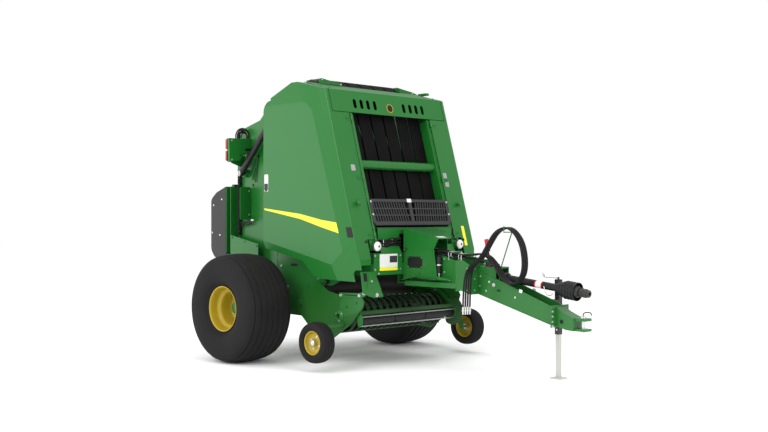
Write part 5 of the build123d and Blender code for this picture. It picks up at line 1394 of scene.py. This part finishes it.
# %% Net cover
NET_BODY = "net_cover_body"
NET_LINE = ((0.736, 1.690), (0.806, 1.664), (0.900, 1.632), (0.990, 1.560), (0.990, 1.040), (0.930, 0.960),
            (0.880, 0.950), (0.736, 1.000))
NET_LUG = ((0.716, 1.694), (0.716, 1.714), (0.740, 1.714), (0.782, 1.669), (0.737, 1.688))
NET_END = 0.700
NET_TOP_OUT = np.array([0, 0.625, 0.781])
side_line = resample(NET_LINE, 64)
for _ in range(2):
    side_line[1:-1] = 0.25 * side_line[:-2] + 0.5 * side_line[1:-1] + 0.25 * side_line[2:]
outward = outward_of(side_line)


def soft_step(value):
    """0 to 1 with a soft start and end."""
    part = np.clip(value, 0, 1)
    return part * part * (3 - 2 * part)


def net_sheet(stations, gauge=0.005, deep=0.006):
    """Side line carried along x, pushed in by deep where a trough in x meets the flat back."""
    off = np.abs((stations + 0.125) % 0.25 - 0.125)
    trough = soft_step((0.036 - off) / 0.012)[:, None]
    tall = soft_step((0.215 - np.abs(side_line[:, 1] - 1.300)) / 0.030)[None]
    push = (deep * trough * tall)[:, :, None]
    skin = side_line[None] - push * outward[None]
    loop = np.concatenate([skin, (skin - gauge * outward[None])[:, ::-1]], axis=1)
    grid_points = np.concatenate([np.broadcast_to(stations[:, None, None], loop.shape[:2] + (1,)), loop], axis=2)
    corners, faces = weave(grid_points, False, True)
    count = loop.shape[1]
    last = len(corners) - count
    return corners, faces + [list(range(count))[::-1], list(range(last, last + count))]


parts = [net_sheet(np.linspace(-NET_END + 0.0005, NET_END - 0.0005, 169))]
handles, feet = [], []
for side in (1, -1):
    parts.append(along_x(side_line - 0.002 * outward, *sorted((side * (NET_END - 0.006), side * NET_END))))
    parts.append(along_x(NET_LUG, *sorted((side * 0.560, side * 0.600))))
    foot = np.array([side * 0.450, 0.945, 1.594])
    grip = [foot + (dx, 0, 0) + out * NET_TOP_OUT
            for dx, out in ((-0.065, 0), (-0.065, 0.024), (0.065, 0.024), (0.065, 0))]
    handles.append(bent(grip, 0.006, 10))
    feet += [foot + (dx, 0, 0) + 0.001 * NET_TOP_OUT for dx in (-0.085, 0.085)]
add("net_cover_skin", join(*parts), "dark_plastic", NET_BODY, replaces="net_cover")
add("net_cover_handles", join(*handles), "black_plastic", NET_BODY)
bolt_rows(NET_BODY, (
    ("net_cover_bolts", "steel", NET_TOP_OUT, 0.007, 0.005, feet),
    ("net_hinge_bolts", "steel", (0, 0.322, 0.947), 0.007, 0.005,
     [(x, 0.853, 1.648) for x in (-0.640, -0.330, 0.0, 0.330, 0.640)]),
))
pair("net_latch", lambda side: plate(box_outline(-0.022, -0.034, 0.022, 0.034, 0.006), (side * 0.520, 0.960, 1.000),
                                     (-1, 0, 0), (0, 0.6, 0.8), 0.006), "black_plastic", NET_BODY, bevel=0.0015)
pair("net_latch_bolt", lambda side: bolts([(side * 0.520, 0.965, 0.996)], (0, 0.8, -0.6), 0.008, 0.005), "steel",
     NET_BODY)
side_bolts(NET_BODY, (
    ("cover_end_bolts", "steel", NET_END, 0.006, 0.005,
     ((0.834, 1.192), (0.965, 1.216), (0.800, 1.560), (0.940, 1.500))),
))
print("net cover")

# %% [markdown]
# ## Back of the gate and the axle
# What shows from behind: the plates that bolt the axle to the frame, the lamps' wire in its clips,
# the roll of pale netting, and the metal lacing that joins the ends of each belt.

# %% Back details
BACK = (0, 1, 0)
FEEDER = ((0.760, 0.405, 1.990), (0.700, 0.440, 2.020), (0.640, 0.520, 2.120), (0.600, 0.574, 2.164),
          (0.300, 0.600, 2.166), (0, 0.600, 2.166))


def on_back(outline, y, depth):
    """Plate of (x, z) points lying on an upright back at y, standing out by depth."""
    return plate(np.asarray(outline, float) * (-1, 1), (0, y, 0), (-1, 0, 0), (0, 0, 1), depth)


# plate with four bolts where the axle meets the frame
pair("axle_plate", lambda side: on_back(np.array(box_outline(0.500, 0.468, 0.592, 0.562)) * (side, 1), 0.0602, 0.008),
     "green", "frame", bevel=0.002)
pair("axle_bolts", lambda side: bolts([(side * x, 0.068, z) for x, z in grid((0.516, 0.576), (0.484, 0.546))], BACK,
                                      0.010, 0.009), "steel", "frame")
pair("lamp_wire", lambda side: bent(flip(FEEDER, side), 0.0055), "hose", "gate")
wire_clips = [rod([(x - 0.007, 0.600, 2.166), (x + 0.007, 0.600, 2.166)], 0.008, 12)
              for x in (-0.225, -0.075, 0.075, 0.225)]
add("lamp_wire_clips", join(*wire_clips), "black_plastic", "gate")
# the roll of pale netting
netting = ((-0.598, 0.020), (0.598, 0.020), (0.598, 0.1058), (-0.598, 0.1058))
add("net_roll_wrap", lathe(netting, (0, 0.860, 1.330), 56), "white_plate", "gate")
# metal lacing across each belt's joint: a row of twelve staples
laces = []
for n in range(6):
    z = 1.955 - 0.045 * ((n * 2) % 5)
    x = (n - 2.5) * 0.170 - 0.074
    y = 0.5682 + 0.060 * (2.130 - z)
    laces += [on_back(box_outline(x + 0.0125 * k, z - 0.011, x + 0.008 + 0.0125 * k, z + 0.011, 0.001),
                      y - 0.0012, 0.0026) for k in range(12)]
add("belt_lacing", join(*laces), "steel", "gate")
add("gate_tube_bolts", bolts([(x, 0.6202, 2.190) for x in (-0.560, -0.520, 0.520, 0.560)], BACK, 0.008, 0.007),
    "steel", "gate")
print("back details")

# %% [markdown]
# ## Floor
# The studio floor is a plain white sheet.

# %% Floor
floor_mesh = bpy.data.meshes.new("floor")
FLOOR_HALF = 40.0
corners = [(u * FLOOR_HALF, v * FLOOR_HALF, 0) for u, v in ((-1, -1), (1, -1), (1, 1), (-1, 1))]
floor_mesh.from_pydata(corners, [], [(0, 1, 2, 3)])
floor = bpy.data.objects.new("floor", floor_mesh)
bpy.context.scene.collection.objects.link(floor)
paper = Finish("studio_floor", (1.0, 1.0, 1.0), 0.9)
paper.shader.inputs["Specular IOR Level"].default_value = 0.0
floor_mesh.materials.append(paper.material)
